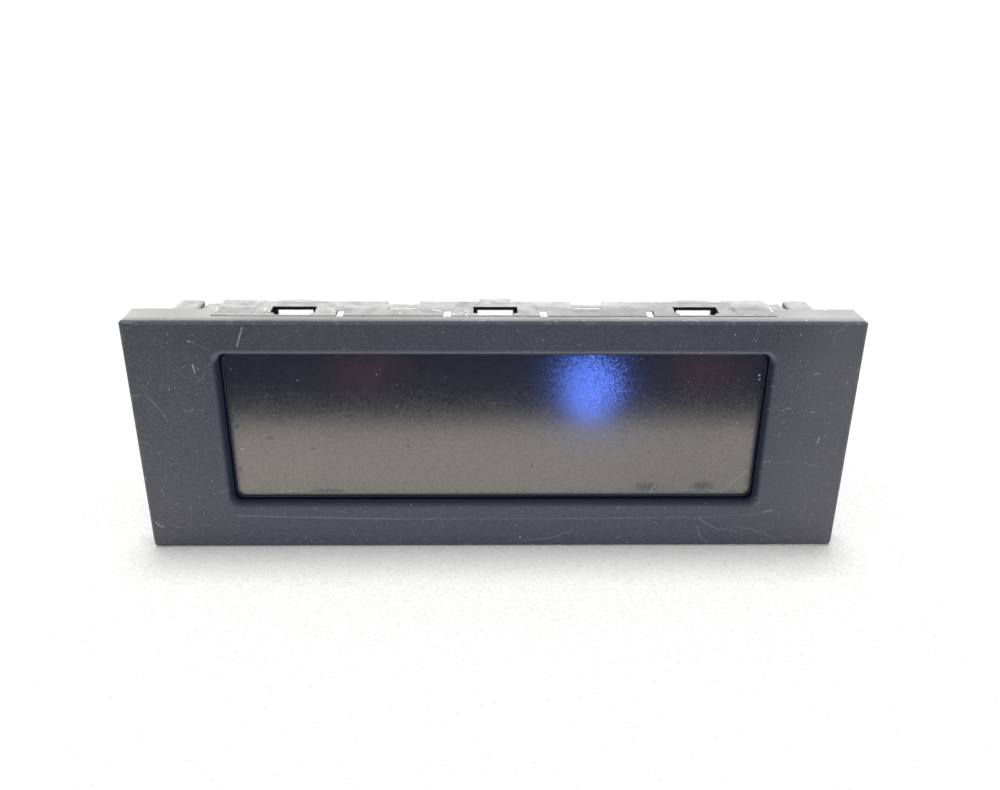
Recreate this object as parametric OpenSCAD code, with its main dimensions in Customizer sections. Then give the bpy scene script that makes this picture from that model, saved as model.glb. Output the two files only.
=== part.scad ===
// Dashboard display unit: a wide bezel with a recessed screen, a moulded housing
// whose rim carries the clip windows, a board stack and a rear cover.
// Every piece is drawn with X to the right, Y backwards from the face and Z up
// from the underside, and is then shifted so that the unit's depth is centred.

/* [Screen] */
// Width of the screen that shows inside the gasket
view_w = 142; // [124:0.2:170]
// Height of the screen that shows inside the gasket
view_h = 42.3; // [38:0.1:56]
// Corner radius of the screen that shows
view_r = 2.2; // [0.5:0.1:4]
// Thickness of the clear lens
lens_t = 1.2; // [0.8:0.1:1.6]
// Width of lens held behind the gasket all round
lens_margin = 2.6; // [2:0.1:3]
// Thickness of the foam gasket in front of the lens
gasket_t = 0.4; // [0.3:0.1:0.8]
// Gasket that shows beside the screen
gasket_show_side = 1.2; // [0.6:0.1:1.6]
// Gasket that shows below the screen
gasket_show_low = 1.4; // [0.6:0.1:1.6]
// Gasket that shows above the screen
gasket_show_high = 0.5; // [0.3:0.1:1.2]

/* [Front bezel] */
// Bezel beside the window on each side
side_border = 23.6; // [22:0.2:40]
// Bezel below the window
low_border = 14; // [13:0.1:24]
// Bezel above the window
high_border = 9.2; // [9:0.1:20]
// Thickness of the front wall
face_wall = 2; // [1.9:0.1:3]
// Radius of the rounded lip round the window
lip_r = 1.7; // [0.8:0.1:1.8]
// Corner radius of the window's inner wall
window_r = 2.1; // [1:0.1:4]
// Thickness of the bezel's skirt
skirt_wall = 2.2; // [1.6:0.1:2.6]
// Depth of the skirt between the end sections
mid_skirt_d = 4.4; // [4.2:0.1:5]
// Depth of the skirt at the two ends
end_skirt_d = 10.2; // [8:0.1:12]
// Width of each deep end section
end_skirt_w = 22.5; // [18:0.1:26]
// Rounding of the front edges
edge_r = 1.2; // [0.4:0.1:1.4]
// Corner radius at the top of the face
corner_high_r = 0.9; // [0.5:0.1:3]
// Corner radius at the bottom of the face
corner_low_r = 2.5; // [1:0.1:4]

/* [Housing] */
// Depth from the face to the rear edge of the rim
rim_d = 16.4; // [15:0.1:18]
// Thickness of the rim's decks
deck_t = 1; // [0.9:0.1:1.4]
// Height of the upper deck above the bezel
deck_rise = 0.3; // [0.1:0.05:0.4]
// Fall of the upper deck's face towards its front edge
deck_fall = 0.25; // [0.1:0.05:0.4]
// Thickness of the housing's walls
frame_wall = 1.6; // [1.2:0.1:1.8]
// Thickness of the box walls round the screen module
box_wall = 1.4; // [1:0.1:1.6]
// Open seam between the bezel's skirt and the rim
seam = 0.3; // [0.2:0.05:0.5]
// Clearance between nested mouldings
fit_gap = 0.2; // [0.1:0.05:0.3]

/* [Clip windows] */
// Distance of the side clip windows from the middle
side_clip_x = 52.8; // [46:0.1:54]
// Width of a clip window
clip_w = 11.6; // [9:0.1:13]
// Width of the window's narrow throat
clip_throat_w = 9.4; // [7:0.1:10]
// Depth of the wide part of a window
clip_d = 4.6; // [4.2:0.1:4.8]
// Length of the throat in front of the wide part
clip_throat_d = 1.2; // [1:0.1:2]
// Thickness of the riser left in front of a throat
clip_lip = 0.8; // [0.5:0.1:1.2]
// Thickness of the legs beside a window's aperture
clip_leg = 1.1; // [0.8:0.1:1.6]
// Reach of the arc behind a side window
arc_reach = 1.4; // [0.6:0.1:2]
// Width of the arc behind a side window
arc_w = 13.6; // [9:0.1:14.5]
// Reach of the tongue behind the middle window
tongue_reach = 3.1; // [1:0.1:3.4]
// Width of the tongue behind the middle window
tongue_w = 8.8; // [7:0.1:14]

/* [Rear cover] */
// Depth of the whole unit
unit_d = 38; // [36:0.5:50]
// Thickness of the cover's walls
cover_wall = 1.8; // [1.4:0.1:2.4]
// Depth at which the cover meets the housing
joint_d = 19.4; // [19:0.1:20]
// Corner radius of the cover
cover_r = 4; // [2:0.5:6]
// Slope of the cover's top, in degrees
top_slope = 20; // [12:1:24]
// Distance of each guide rail from the middle
rail_x = 58; // [44:1:64]
// Thickness of a guide rail
rail_t = 3; // [2:0.2:4]
// Vent slots in each of the two groups
vent_count = 8; // [4:1:10]
// Width of a vent slot
vent_w = 1.6; // [1:0.1:2]
// Height of a vent slot
vent_h = 13; // [8:0.5:16]
// Shallow pockets between the ribs of the back
pocket_count = 5; // [2:1:5]
// Width of a pocket
pocket_w = 14; // [8:0.5:14]
// Depth of a pocket
pocket_depth = 0.5; // [0.3:0.1:0.8]

/* [Connector] */
// Contacts in each of the two rows
contact_count = 6; // [4:1:8]
// Spacing of the contacts
contact_pitch = 3.5; // [3:0.1:4]
// Distance between the two rows
row_pitch = 4; // [3.6:0.1:5]
// Thickness of a square contact pin
pin_t = 0.64; // [0.5:0.02:0.8]
// Depth of the open socket
socket_d = 13; // [12:0.1:13.5]
// Thickness of the socket's wall
shell_wall = 1.2; // [0.9:0.1:1.5]
// Distance of the connector from the middle
connector_x = 38; // [34:0.5:42]

/* [Board] */
// Thickness of the main board
board_t = 1.6; // [1:0.1:1.6]
// Clearance from the board's edge to the cover's locating lip
board_gap = 0.5; // [0.3:0.1:1]
// Diameter of the screw threads
screw_d = 3; // [2.2:0.1:3.2]
// Diameter of the screw heads
screw_head_d = 5.4; // [4.6:0.1:6]
// Height of the screw heads
screw_head_h = 1.8; // [1.2:0.1:2.2]

/* [Hidden] */

// Cuts run this far past the faces that they open
past = 1;

// Front bezel
opening_w = view_w + 2 * gasket_show_side;
opening_h = view_h + gasket_show_low + gasket_show_high;
bezel_w = opening_w + 2 * side_border;
bezel_h = low_border + opening_h + high_border;
window_mid_z = low_border + opening_h / 2;
view_low = low_border + gasket_show_low;
view_high = view_low + view_h;
deck_half = bezel_w / 2 - end_skirt_w;

// Screen module, from the lens backwards
gasket_d = face_wall;
lens_d = gasket_d + gasket_t;
clamp_t = 0.4;
clamp_d = lens_d + lens_t;
polariser_t = 0.2;
glass_t = 0.7;
front_glass_d = clamp_d + clamp_t;
rear_glass_d = front_glass_d + glass_t;
rear_polariser_d = rear_glass_d + glass_t;
diffuser_t = 0.4;
diffuser_d = rear_polariser_d + polariser_t;
guide_t = 3;
guide_d = diffuser_d + diffuser_t;
reflector_t = 0.2;
reflector_d = guide_d + guide_t;
carrier_floor_d = reflector_d + reflector_t;
carrier_floor_t = 1.2;
peg_d = carrier_floor_d + carrier_floor_t;

// Margins of the module's layers beyond the screen that shows
clamp_gap = 0.2;
glass_grip = 0.8;
layer_gap = 0.2;
ledge_h = 2.2;
flex_room = 0.8;
carrier_wall = 1;
clamp_fit = 0.1;
glass_margin = clamp_gap + glass_grip;
cavity_margin = glass_margin + layer_gap;
carrier_margin = cavity_margin + carrier_wall;
module_margin = carrier_margin + clamp_fit + clamp_t;
low_extra = ledge_h + flex_room;
box_in_half = view_w / 2 + module_margin + fit_gap;
box_half = box_in_half + box_wall;
box_in_low = view_low - module_margin - low_extra - fit_gap;
box_low = box_in_low - box_wall;
box_in_high = view_high + module_margin + fit_gap;
box_high = box_in_high + box_wall;

// Backlight: a strip of lamps at the left end of the light guide
led_count = 6;
led_depth = 1.5;
led_w = 1.8;
led_h = 2.8;
strip_t = 0.6;
guide_left = -view_w / 2 - cavity_margin + strip_t + led_depth + 0.1;

// Housing
nest = skirt_wall + fit_gap;
deck_front_d = mid_skirt_d + seam;
rim_h = bezel_h + deck_rise;
web_d = deck_front_d;
web_back_d = web_d + frame_wall;
ring_back_d = end_skirt_d - 0.4;
rib_t = 1.2;

// Decks: the rear edge stands further back at the two outer ends
deck_taper = 1;
deck_end_gap = 0.12;
deck_mid_back_d = rim_d - 1.1;
deck_outer_x = side_clip_x + 8.4;
slope_back_d = 10.4;
deck_ribs = [16.5, 35, 67];
middle_arm_front = 11.6;
middle_arm_rear = 9.6;
side_arm_in = 11.4;
side_arm_out = 10.6;
side_arm_in_taper = 1.7;
side_arm_out_taper = 1.1;

// Openings of a deck
clip_front_d = deck_front_d + clip_lip + clip_throat_d;
clip_back_d = clip_front_d + clip_d;
leg_d = 1.4;
leg_out = 1.2;
hook_lean = 20;
relief_w = 2;
relief_back_d = 7.6;
slit_in_x = 20.8;
slit_out_x = 28.2;
slit_front_d = 9.6;
slit_back_d = 10.4;
notch_front_d = 12.9;
notch_in_x = 20.4;
notch_out_x = 28.1;
notch_flare = 1;
tongue_tip_d = 1.2;
tongue_tip_in = 0.4;
tongue_tip_drop = 0.15;

// End lugs and the shoulders between them and the decks
lug_front_d = end_skirt_d + 0.2;
lug_back_d = rim_d + 0.8;
lug_in_x = deck_half + 4.9;
lug_out_x = lug_in_x + 7.2;
lug_lean = 8;
lug_r = 0.8;
lug_inset = 0.4;
lug_base = nest + frame_wall + 2;
lug_in_r = 0.6;
shoulder_x = deck_half + 3.2;
shoulder_front_x = lug_in_x - 0.3;
shoulder_back_d = rim_d - 0.5;
shoulder_inset = 0.9;

// Main board and connector
lip_t = 1.2;
lip_reach = 1.5;
board_d = joint_d - 1;
board_back_d = board_d + board_t;
board_half = box_in_half - fit_gap - lip_t - board_gap;
board_low = box_in_low + fit_gap + lip_t + board_gap;
board_high = box_in_high - fit_gap - lip_t - board_gap;
board_mid_z = (board_low + board_high) / 2;
peg_r = 2.6;
peg_x = board_half - 6;
peg_low_z = board_low + 5.5;
peg_high_z = board_high - 4.5;
shell_back_d = unit_d - 0.6;
socket_bottom_d = shell_back_d - socket_d;
socket_w = contact_count * contact_pitch + 2;
socket_h = row_pitch + 5;
shell_w = socket_w + 2 * shell_wall;
shell_h = socket_h + 2 * shell_wall;
shell_mid_z = board_low + 6 + shell_h / 2;
pin_reach = 7.2;
pin_tail = 1.2;
key_w = 3;
key_d = 5;
key_wall = 0.4;

// Flat cable from the display to the board, and its socket
flex_w = 36;
flex_t = 0.2;
flex_bend = 0.5;
flex_low = view_low - cavity_margin - low_extra + 0.2;
flex_front = rear_glass_d - flex_t;
flex_back_gap = 1;
flex_up_d = board_d - flex_back_gap - flex_t;
flex_socket_low = board_low + 1.5;
flex_socket_h = 4.2;
flex_socket_t = 2.2;
flex_socket_end = 2.5;
flex_tip_z = flex_socket_low + 2.4;

// Packages on the board; the lead pitch goes with each kind of package
chip_standoff = 0.1;
fine_pitch = 0.65;
medium_pitch = 0.8;
wide_pitch = 1.27;
small_chip_w = 5;
small_chip_h = 4;
small_chip_t = 1.5;
low_row_z = board_low + 9;

// Rear cover
cover_foot_z = box_low;
cover_back_high = box_high - (unit_d - joint_d) * tan(top_slope);
vent_mid_z = cover_back_high - vent_h / 2 - 5;
vent_group_x = 34;
collar_t = 1.6;
bead_h = 1.2;
pocket_rib = 2.4;
pocket_h = 18;
pocket_low_z = box_low + 5.5;
pocket_mid_x = -24;
pocket_r = 1.5;
gusset_reach = 3;
gusset_d = 6;
ear_x = box_half + 8;
ear_r = 5;
ear_t = 2.2;
ear_low_z = box_low + 9;
ear_high_z = box_high - 15;
post_r = 3.6;
bezel_boss_x = bezel_w / 2 - 8.5;
bezel_boss_r = 3.2;
bezel_boss_low_z = 9;
bezel_boss_high_z = bezel_h - 9;
thread_gap = 0.05;
hole_gap = 0.2;
screw_r = screw_d / 2;
head_r = screw_head_d / 2;
screw_grip = 6;

$fn = 64;

// A box between two points, which are given side by side for each axis
module block(x0, x1, d0, d1, z0, z1) {
    translate([x0, d0, z0]) cube([x1 - x0, d1 - d0, z1 - z0]);
}

// Runs a front outline (x, z) backwards through a stretch of depth
module depth_run(d0, d1) {
    translate([0, d1, 0]) rotate([90, 0, 0]) linear_extrude(d1 - d0) children();
}

// Runs a side outline (depth, z) across the width
module width_run(x0, x1) {
    translate([x0, 0, 0]) rotate([90, 0, 90]) linear_extrude(x1 - x0) children();
}

// A round bar along the depth
module rod(x, z, d0, d1, r) {
    translate([x, d1, z]) rotate([90, 0, 0]) cylinder(r = r, h = d1 - d0);
}

// A rectangle whose lower and upper corners have radii of their own
module round_outline(x0, x1, z0, z1, r_low, r_high) {
    mid = (z0 + z1) / 2;
    translate([x0, z0 + r_low]) square([x1 - x0, mid - z0 - r_low]);
    translate([x0 + r_low, z0]) square([x1 - x0 - 2 * r_low, r_low]);
    translate([x0, mid]) square([x1 - x0, z1 - r_high - mid]);
    translate([x0 + r_high, z1 - r_high]) square([x1 - x0 - 2 * r_high, r_high]);
    for (x = [x0 + r_low, x1 - r_low]) translate([x, z0 + r_low]) circle(r_low);
    for (x = [x0 + r_high, x1 - r_high]) translate([x, z1 - r_high]) circle(r_high);
}

// A rectangle that surrounds the screen by a margin, with more of it below
module view_outline(margin, extra_low = 0) {
    translate([-view_w / 2 - margin, view_low - margin - extra_low])
        square([view_w + 2 * margin, view_h + 2 * margin + extra_low]);
}

// A flat layer of the screen module
module layer(d, t, margin, extra_low = 0) {
    depth_run(d, d + t) view_outline(margin, extra_low);
}

// Places the children at both sides of the unit
module both_sides() {
    children();
    mirror([1, 0, 0]) children();
}

module placed() {
    translate([0, -unit_d / 2, 0]) children();
}

// Front bezel

// A side outline with its front corners rounded, as seen along either edge
module front_rounded(depth, z0, z1) {
    translate([edge_r, z0]) square([depth - edge_r, z1 - z0]);
    translate([0, z0 + edge_r]) square([edge_r, z1 - z0 - 2 * edge_r]);
    for (z = [z0 + edge_r, z1 - edge_r]) translate([edge_r, z]) circle(edge_r);
}

module bezel_block() {
    intersection() {
        depth_run(0, end_skirt_d)
            round_outline(-bezel_w / 2, bezel_w / 2, 0, bezel_h, corner_low_r, corner_high_r);
        width_run(-bezel_w / 2, bezel_w / 2) front_rounded(end_skirt_d, 0, bezel_h);
        rotate([0, 0, 90]) mirror([0, 1, 0]) linear_extrude(bezel_h)
            front_rounded(end_skirt_d, -bezel_w / 2, bezel_w / 2);
    }
}

// Section of the lip: its rounding starts at the window's wall and ends at lip_r from it
module lip_section() {
    translate([0, lip_r]) square([lip_r, face_wall - lip_r]);
    intersection() {
        square([lip_r, lip_r]);
        translate([lip_r, lip_r]) circle(lip_r);
    }
}

module lip_bar(length, distance) {
    translate([-length / 2, 0, -distance])
        rotate([90, 0, 90]) linear_extrude(length) rotate(-90) lip_section();
}

module lip_corner() {
    rotate([-90, 0, 0]) rotate_extrude(angle = 90) translate([window_r, 0]) lip_section();
}

module window_lip() {
    half_w = opening_w / 2;
    half_h = opening_h / 2;
    translate([0, 0, window_mid_z]) {
        for (turn = [0, 180]) rotate([0, turn, 0]) {
            lip_bar(opening_w - 2 * window_r, half_h);
            translate([half_w - window_r, 0, window_r - half_h]) lip_corner();
        }
        for (turn = [90, 270]) rotate([0, turn, 0]) {
            lip_bar(opening_h - 2 * window_r, half_w);
            translate([half_h - window_r, 0, window_r - half_w]) lip_corner();
        }
    }
}

module bezel_bosses() {
    both_sides()
        for (z = [bezel_boss_low_z, bezel_boss_high_z])
            rod(bezel_boss_x, z, face_wall / 2, web_d, bezel_boss_r);
}

module front_bezel() {
    rib_d = lens_d + lens_t;
    rim = lens_margin + fit_gap;
    color([0.25, 0.26, 0.3]) placed() difference() {
        union() {
            difference() {
                bezel_block();
                // Space behind the face, inside the skirt
                block(skirt_wall - bezel_w / 2, bezel_w / 2 - skirt_wall, face_wall,
                    end_skirt_d + past, skirt_wall, bezel_h - skirt_wall);
                // The skirt is shallow between the end sections, which follow the deck's ends
                translate([0, 0, -past]) linear_extrude(bezel_h + 2 * past)
                    deck_plan(mid_skirt_d, end_skirt_d + past, deck_end_gap);
                // Window, as wide as the outer edge of its lip
                depth_run(-past, face_wall + past)
                    round_outline(-opening_w / 2 - lip_r, opening_w / 2 + lip_r,
                        low_border - lip_r, low_border + opening_h + lip_r,
                        window_r + lip_r, window_r + lip_r);
            }
            window_lip();
            bezel_bosses();
            // Locating rib round the lens
            depth_run(face_wall - 0.2, rib_d) difference() {
                view_outline(rim + rib_t);
                view_outline(rim);
            }
        }
        both_sides()
            for (z = [bezel_boss_low_z, bezel_boss_high_z])
                rod(bezel_boss_x, z, face_wall + 0.2, web_d + past, screw_r + thread_gap);
    }
}

// Screen module

module lens_gasket() {
    color([0.05, 0.05, 0.06]) placed() depth_run(gasket_d, gasket_d + gasket_t) difference() {
        view_outline(lens_margin);
        round_outline(-view_w / 2, view_w / 2, view_low, view_high, view_r, view_r);
    }
}

module screen_lens() {
    color([0.2, 0.2, 0.22]) placed() layer(lens_d, lens_t, lens_margin);
}

// Pressed metal frame: a flange in front of the glass and walls round the carrier
module clamp_frame() {
    wall_d = carrier_floor_d;
    inner = carrier_margin + clamp_fit;
    snap_w = 6;
    snap_d = 1.6;
    color([0.7, 0.71, 0.72]) placed() difference() {
        depth_run(clamp_d, wall_d) view_outline(module_margin, low_extra);
        depth_run(clamp_d + clamp_t, wall_d + past) view_outline(inner, low_extra);
        depth_run(clamp_d - past, clamp_d + clamp_t + past) view_outline(clamp_gap);
        // Windows in the long walls that the carrier's nibs snap into
        for (i = [-2:2])
            translate([i * view_w / 5, 0, 0])
                block(-snap_w / 2, snap_w / 2, guide_d, guide_d + snap_d, box_low, box_high);
    }
}

module front_polariser() {
    color([0.16, 0.17, 0.19]) placed() layer(front_glass_d - polariser_t, polariser_t, 0);
}

module display_front_glass() {
    color([0.6, 0.66, 0.66]) placed() layer(front_glass_d, glass_t, glass_margin);
}

module display_rear_glass() {
    color([0.55, 0.62, 0.62]) placed() layer(rear_glass_d, glass_t, glass_margin, ledge_h);
}

module rear_polariser() {
    color([0.2, 0.2, 0.22]) placed() layer(rear_polariser_d, polariser_t, 0);
}

module diffuser_sheet() {
    color([0.95, 0.95, 0.95]) placed() layer(diffuser_d, diffuser_t, 0);
}

module light_guide() {
    color([0.9, 0.93, 0.95]) placed()
        block(guide_left, view_w / 2 + glass_margin, guide_d, guide_d + guide_t,
            view_low - glass_grip, view_high + glass_grip);
}

module reflector_sheet() {
    color([0.97, 0.97, 0.97]) placed() layer(reflector_d, reflector_t, 0);
}

// Narrow strip beside the light guide that carries the lamps
module backlight_board() {
    left = -view_w / 2 - cavity_margin;
    color([0.1, 0.35, 0.2]) placed()
        block(left, left + strip_t, guide_d, guide_d + guide_t, view_low, view_high);
}

module backlight_leds() {
    left = -view_w / 2 - cavity_margin + strip_t;
    pitch = view_h / led_count;
    color([0.95, 0.93, 0.75]) placed() for (i = [0:led_count - 1])
        translate([left, guide_d + (guide_t - led_w) / 2, view_low + pitch * (i + 0.5) - led_h / 2])
            cube([led_depth, led_w, led_h]);
}

// Moulded tray that holds the layers, with pegs for the main board
module module_carrier() {
    floor_d = carrier_floor_d;
    slot_half = flex_w / 2 + 1;
    half_rib = 0.5;
    color([0.93, 0.93, 0.9]) placed() difference() {
        union() {
            depth_run(front_glass_d, peg_d) view_outline(carrier_margin, low_extra);
            both_sides()
                for (z = [peg_low_z, peg_high_z]) {
                    rod(peg_x, z, floor_d, board_d, peg_r);
                    // Web that stiffens a peg
                    block(peg_x - 2 * peg_r, peg_x, floor_d, board_d - 3, z - half_rib, z + half_rib);
                }
            // Stiffening ribs over the floor
            for (i = [-3:3])
                translate([i * view_w / 8, 0, 0])
                    block(-half_rib, half_rib, floor_d, peg_d + 2, view_low + 6, view_high - 2);
        }
        depth_run(front_glass_d - past, floor_d) view_outline(cavity_margin, low_extra);
        both_sides()
            for (z = [peg_low_z, peg_high_z])
                rod(peg_x, z, board_d - screw_grip, board_d + past, screw_r + thread_gap);
        // Slot for the flex cable
        block(-slot_half, slot_half, floor_d - past, board_d, view_low - cavity_margin - low_extra,
            view_low - cavity_margin - ledge_h + 0.2);
    }
}

// Side outline of a quarter bend of the cable, turned to its quadrant
module flex_corner(d, z, turn) {
    translate([d, z]) rotate(turn) intersection() {
        difference() {
            circle(flex_bend + flex_t);
            circle(flex_bend);
        }
        square([2 * flex_bend, 2 * flex_bend]);
    }
}

// Flat cable from the ledge of the rear glass, under the module, to its socket
module flex_cable() {
    turn = flex_bend + flex_t;
    low = flex_low + turn;
    bond_h = view_low - glass_margin - low - 0.6;
    level_d = flex_up_d + flex_t - 2 * turn - flex_front;
    color([0.75, 0.45, 0.15]) placed() width_run(-flex_w / 2, flex_w / 2) {
        translate([flex_front, low]) square([flex_t, bond_h]);
        flex_corner(flex_front + turn, low, 180);
        translate([flex_front + turn, flex_low]) square([level_d, flex_t]);
        flex_corner(flex_up_d + flex_t - turn, low, 270);
        translate([flex_up_d, low]) square([flex_t, flex_tip_z - low]);
    }
}

module flex_socket() {
    half = flex_w / 2 + flex_socket_end;
    room = 0.1;
    color([0.9, 0.88, 0.8]) placed() difference() {
        block(-half, half, board_d - flex_socket_t, board_d, flex_socket_low,
            flex_socket_low + flex_socket_h);
        block(-flex_w / 2 - room, flex_w / 2 + room, flex_up_d - room, flex_up_d + flex_t + room,
            flex_socket_low - past, flex_tip_z + room);
    }
}

// Housing

// Plan outline (x, depth) of the stretch of deck that a clip arm takes up
module middle_arm_plan() {
    polygon([
        [-middle_arm_front, deck_front_d - past],
        [middle_arm_front, deck_front_d - past],
        [middle_arm_rear, rim_d + past],
        [-middle_arm_rear, rim_d + past]
    ]);
}

module side_arm_plan() {
    in_x = side_clip_x - side_arm_in;
    out_x = side_clip_x + side_arm_out;
    polygon([
        [in_x, deck_front_d - past],
        [out_x, deck_front_d - past],
        [out_x - side_arm_out_taper, rim_d + past],
        [in_x + side_arm_in_taper, rim_d + past]
    ]);
}

module arm_plans() {
    middle_arm_plan();
    both_sides() side_arm_plan();
}

// How far the deck's ends are from the middle at a depth: they draw in towards the rear
function deck_end(d) = deck_half - deck_taper * (d - deck_front_d) / (rim_d - deck_front_d);

// The deck's plan between two depths, with its ends moved out by a margin
module deck_plan(d0, d1, margin = 0) {
    front = deck_end(d0) + margin;
    back = deck_end(d1) + margin;
    polygon([[-front, d0], [front, d0], [back, d1], [-back, d1]]);
}

// Places the children at the three clip windows
module at_clips() {
    for (x = [-side_clip_x, 0, side_clip_x]) translate([x, 0, 0]) children();
}

// Hole for a clip, cut down through the deck to the foot of the riser
module clip_cut() {
    block(-clip_w / 2, clip_w / 2, clip_front_d, clip_back_d, -past, deck_t + past);
    block(-clip_throat_w / 2, clip_throat_w / 2, deck_front_d + clip_lip, clip_front_d + past, -past,
        nest);
}

// A slot that leans back as it goes in, in the line of the clip's hook
module leaning_cut(x0, x1, d0, d1) {
    above = past / 2;
    width_run(x0, x1)
        polygon([
            [d0, -above],
            [d1 - above / tan(hook_lean), -above],
            [d1 + nest / tan(hook_lean), nest],
            [d0, nest]
        ]);
}

// What is taken off a deck's outer face so that it falls to its front edge; the
// slope ends at the given depth
module surface_cut(slope_end_d) {
    front = deck_front_d - past;
    slope = deck_fall / (slope_end_d - deck_front_d);
    width_run(-deck_half - past, deck_half + past)
        polygon([
            [front, -past],
            [slope_end_d, -past],
            [slope_end_d, 0],
            [front, slope * (slope_end_d - front)]
        ]);
}

// Side outline of a rib or an end wall that carries a deck on the box
module rib_outline(z0, back_d, foot_d, reach) {
    polygon([[web_d, z0], [back_d, z0], [back_d, deck_t], [foot_d, reach], [web_d, reach]]);
}

// Arc on the rear edge behind a side window
module rear_arc() {
    arc_r = (arc_w * arc_w / 4 + arc_reach * arc_reach) / (2 * arc_reach);
    intersection() {
        translate([0, deck_mid_back_d + arc_reach - arc_r, 0])
            cylinder(r = arc_r, h = deck_t, $fn = 180);
        block(-arc_w / 2 - past, arc_w / 2 + past, deck_mid_back_d - 1, rim_d + 2 * arc_reach, 0,
            deck_t);
    }
}

// Tongue behind the middle window, whose tip narrows and slopes a little
module tongue() {
    root_d = deck_mid_back_d - 1;
    end_d = deck_mid_back_d + tongue_reach;
    bend_d = end_d - tongue_tip_d;
    half = tongue_w / 2;
    intersection() {
        linear_extrude(deck_t)
            polygon([
                [-half, root_d],
                [half, root_d],
                [half, deck_mid_back_d],
                [half - tongue_tip_in, end_d],
                [tongue_tip_in - half, end_d],
                [-half, deck_mid_back_d]
            ]);
        width_run(-half - past, half + past)
            polygon([
                [root_d, 0],
                [bend_d, 0],
                [end_d, tongue_tip_drop],
                [end_d, deck_t],
                [root_d, deck_t]
            ]);
    }
}

// One deck of the rim, drawn as the lower one: its outer face is at zero and the
// ribs reach up to the box at the given height. Only the raised deck slopes down to
// the bezel's skirt in front and carries the arcs and the tongue
module deck(reach, raised) {
    difference() {
        union() {
            linear_extrude(deck_t) deck_plan(deck_front_d, rim_d);
            // Riser behind the bezel's skirt
            linear_extrude(nest + frame_wall) deck_plan(deck_front_d, web_back_d);
            // End walls and ribs
            both_sides() {
                width_run(deck_half - deck_taper - frame_wall, deck_half - deck_taper)
                    rib_outline(0, rim_d - 1, web_back_d + 4, reach);
                for (x = deck_ribs)
                    width_run(x, x + rib_t) rib_outline(deck_t / 2, rim_d - 2, web_back_d + 3, reach);
            }
            // Legs on both sides of each window's aperture
            at_clips() both_sides()
                block(clip_w / 2 - clip_leg, clip_w / 2 + leg_out, clip_back_d, clip_back_d + leg_d,
                    deck_t / 2, reach);
        }
        at_clips() clip_cut();
        block(-deck_outer_x, deck_outer_x, deck_mid_back_d, rim_d + past, -past, deck_t + past);
        if (raised) {
            surface_cut(slope_back_d);
            // The arms slope all the way back
            intersection() {
                surface_cut(deck_mid_back_d);
                translate([0, 0, -2 * past]) linear_extrude(4 * past) arm_plans();
            }
        }
        both_sides() {
            // Relief slots beside the arms
            leaning_cut(middle_arm_front, middle_arm_front + relief_w, deck_front_d - past,
                relief_back_d);
            leaning_cut(side_clip_x - side_arm_in - relief_w, side_clip_x - side_arm_in,
                deck_front_d - past, relief_back_d);
            // Slit and rear notch between the arms
            leaning_cut(slit_in_x, slit_out_x, slit_front_d, slit_back_d);
            translate([0, 0, -past]) linear_extrude(deck_t + 2 * past)
                polygon([
                    [notch_in_x, notch_front_d],
                    [notch_out_x, notch_front_d],
                    [notch_out_x + notch_flare, rim_d + past],
                    [notch_in_x - notch_flare, rim_d + past]
                ]);
        }
    }
    if (raised) {
        for (x = [-side_clip_x, side_clip_x]) translate([x, 0, 0]) rear_arc();
        tongue();
    }
}

// Front outline (x, z) of a lug's inner side, whose edge is rounded
module lug_front(top) {
    span = bezel_w / 2 - lug_in_x;
    translate([lug_in_x + lug_in_r, top]) square([span - lug_in_r, lug_in_r]);
    translate([lug_in_x, top + lug_in_r]) square([span, lug_base - top - lug_in_r]);
    translate([lug_in_x + lug_in_r, top + lug_in_r]) circle(lug_in_r);
}

// Shoulder beside the deck and the lug beyond a narrow slot, drawn as the lower
// ones; they stand proud of the bezel's outer face as far as their deck does
module end_lug(proud) {
    top = lug_inset - proud;
    shoulder_top = shoulder_inset - proud;
    bar_w = lug_out_x - lug_in_x + past;
    root_x = deck_half - deck_taper - frame_wall / 2;
    block(deck_half - frame_wall, shoulder_x, web_d, lug_front_d + past, nest, nest + frame_wall);
    translate([0, 0, shoulder_top]) linear_extrude(nest + frame_wall - shoulder_top)
        polygon([
            [root_x, lug_front_d],
            [shoulder_front_x, lug_front_d],
            [shoulder_x, shoulder_back_d],
            [root_x, shoulder_back_d]
        ]);
    block(lug_in_x, lug_out_x, web_d, lug_front_d + past, nest, lug_base);
    intersection() {
        depth_run(lug_front_d, lug_back_d) lug_front(top);
        // The outer side, with its rounded edge, leans inwards to the rear
        translate([lug_out_x, lug_front_d, 0]) rotate([0, 0, lug_lean])
            depth_run(-2 * past, rim_d) {
                translate([-bar_w, top]) square([bar_w - lug_r, lug_r]);
                translate([-bar_w, top + lug_r]) square([bar_w, lug_base]);
                translate([-lug_r, top + lug_r]) circle(lug_r);
            }
    }
}

// Rectangular ring that nests inside the bezel's skirt, deep only at its two ends
module nested_ring() {
    half = bezel_w / 2 - nest;
    inner_half = half - frame_wall;
    inner_low = nest + frame_wall;
    middle = deck_half - frame_wall;
    difference() {
        depth_run(face_wall + fit_gap, ring_back_d) difference() {
            round_outline(-half, half, nest, bezel_h - nest, 1.5, 0.8);
            translate([-inner_half, inner_low]) square([2 * inner_half, bezel_h - 2 * inner_low]);
        }
        block(-middle, middle, web_back_d, ring_back_d + past, nest - past, bezel_h - nest + past);
    }
}

// Box round the screen module and the board, open at both ends
module housing_box() {
    depth_run(web_d, joint_d) difference() {
        translate([-box_half, box_low]) square([2 * box_half, box_high - box_low]);
        translate([-box_in_half, box_in_low]) square([2 * box_in_half, box_in_high - box_in_low]);
    }
}

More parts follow.
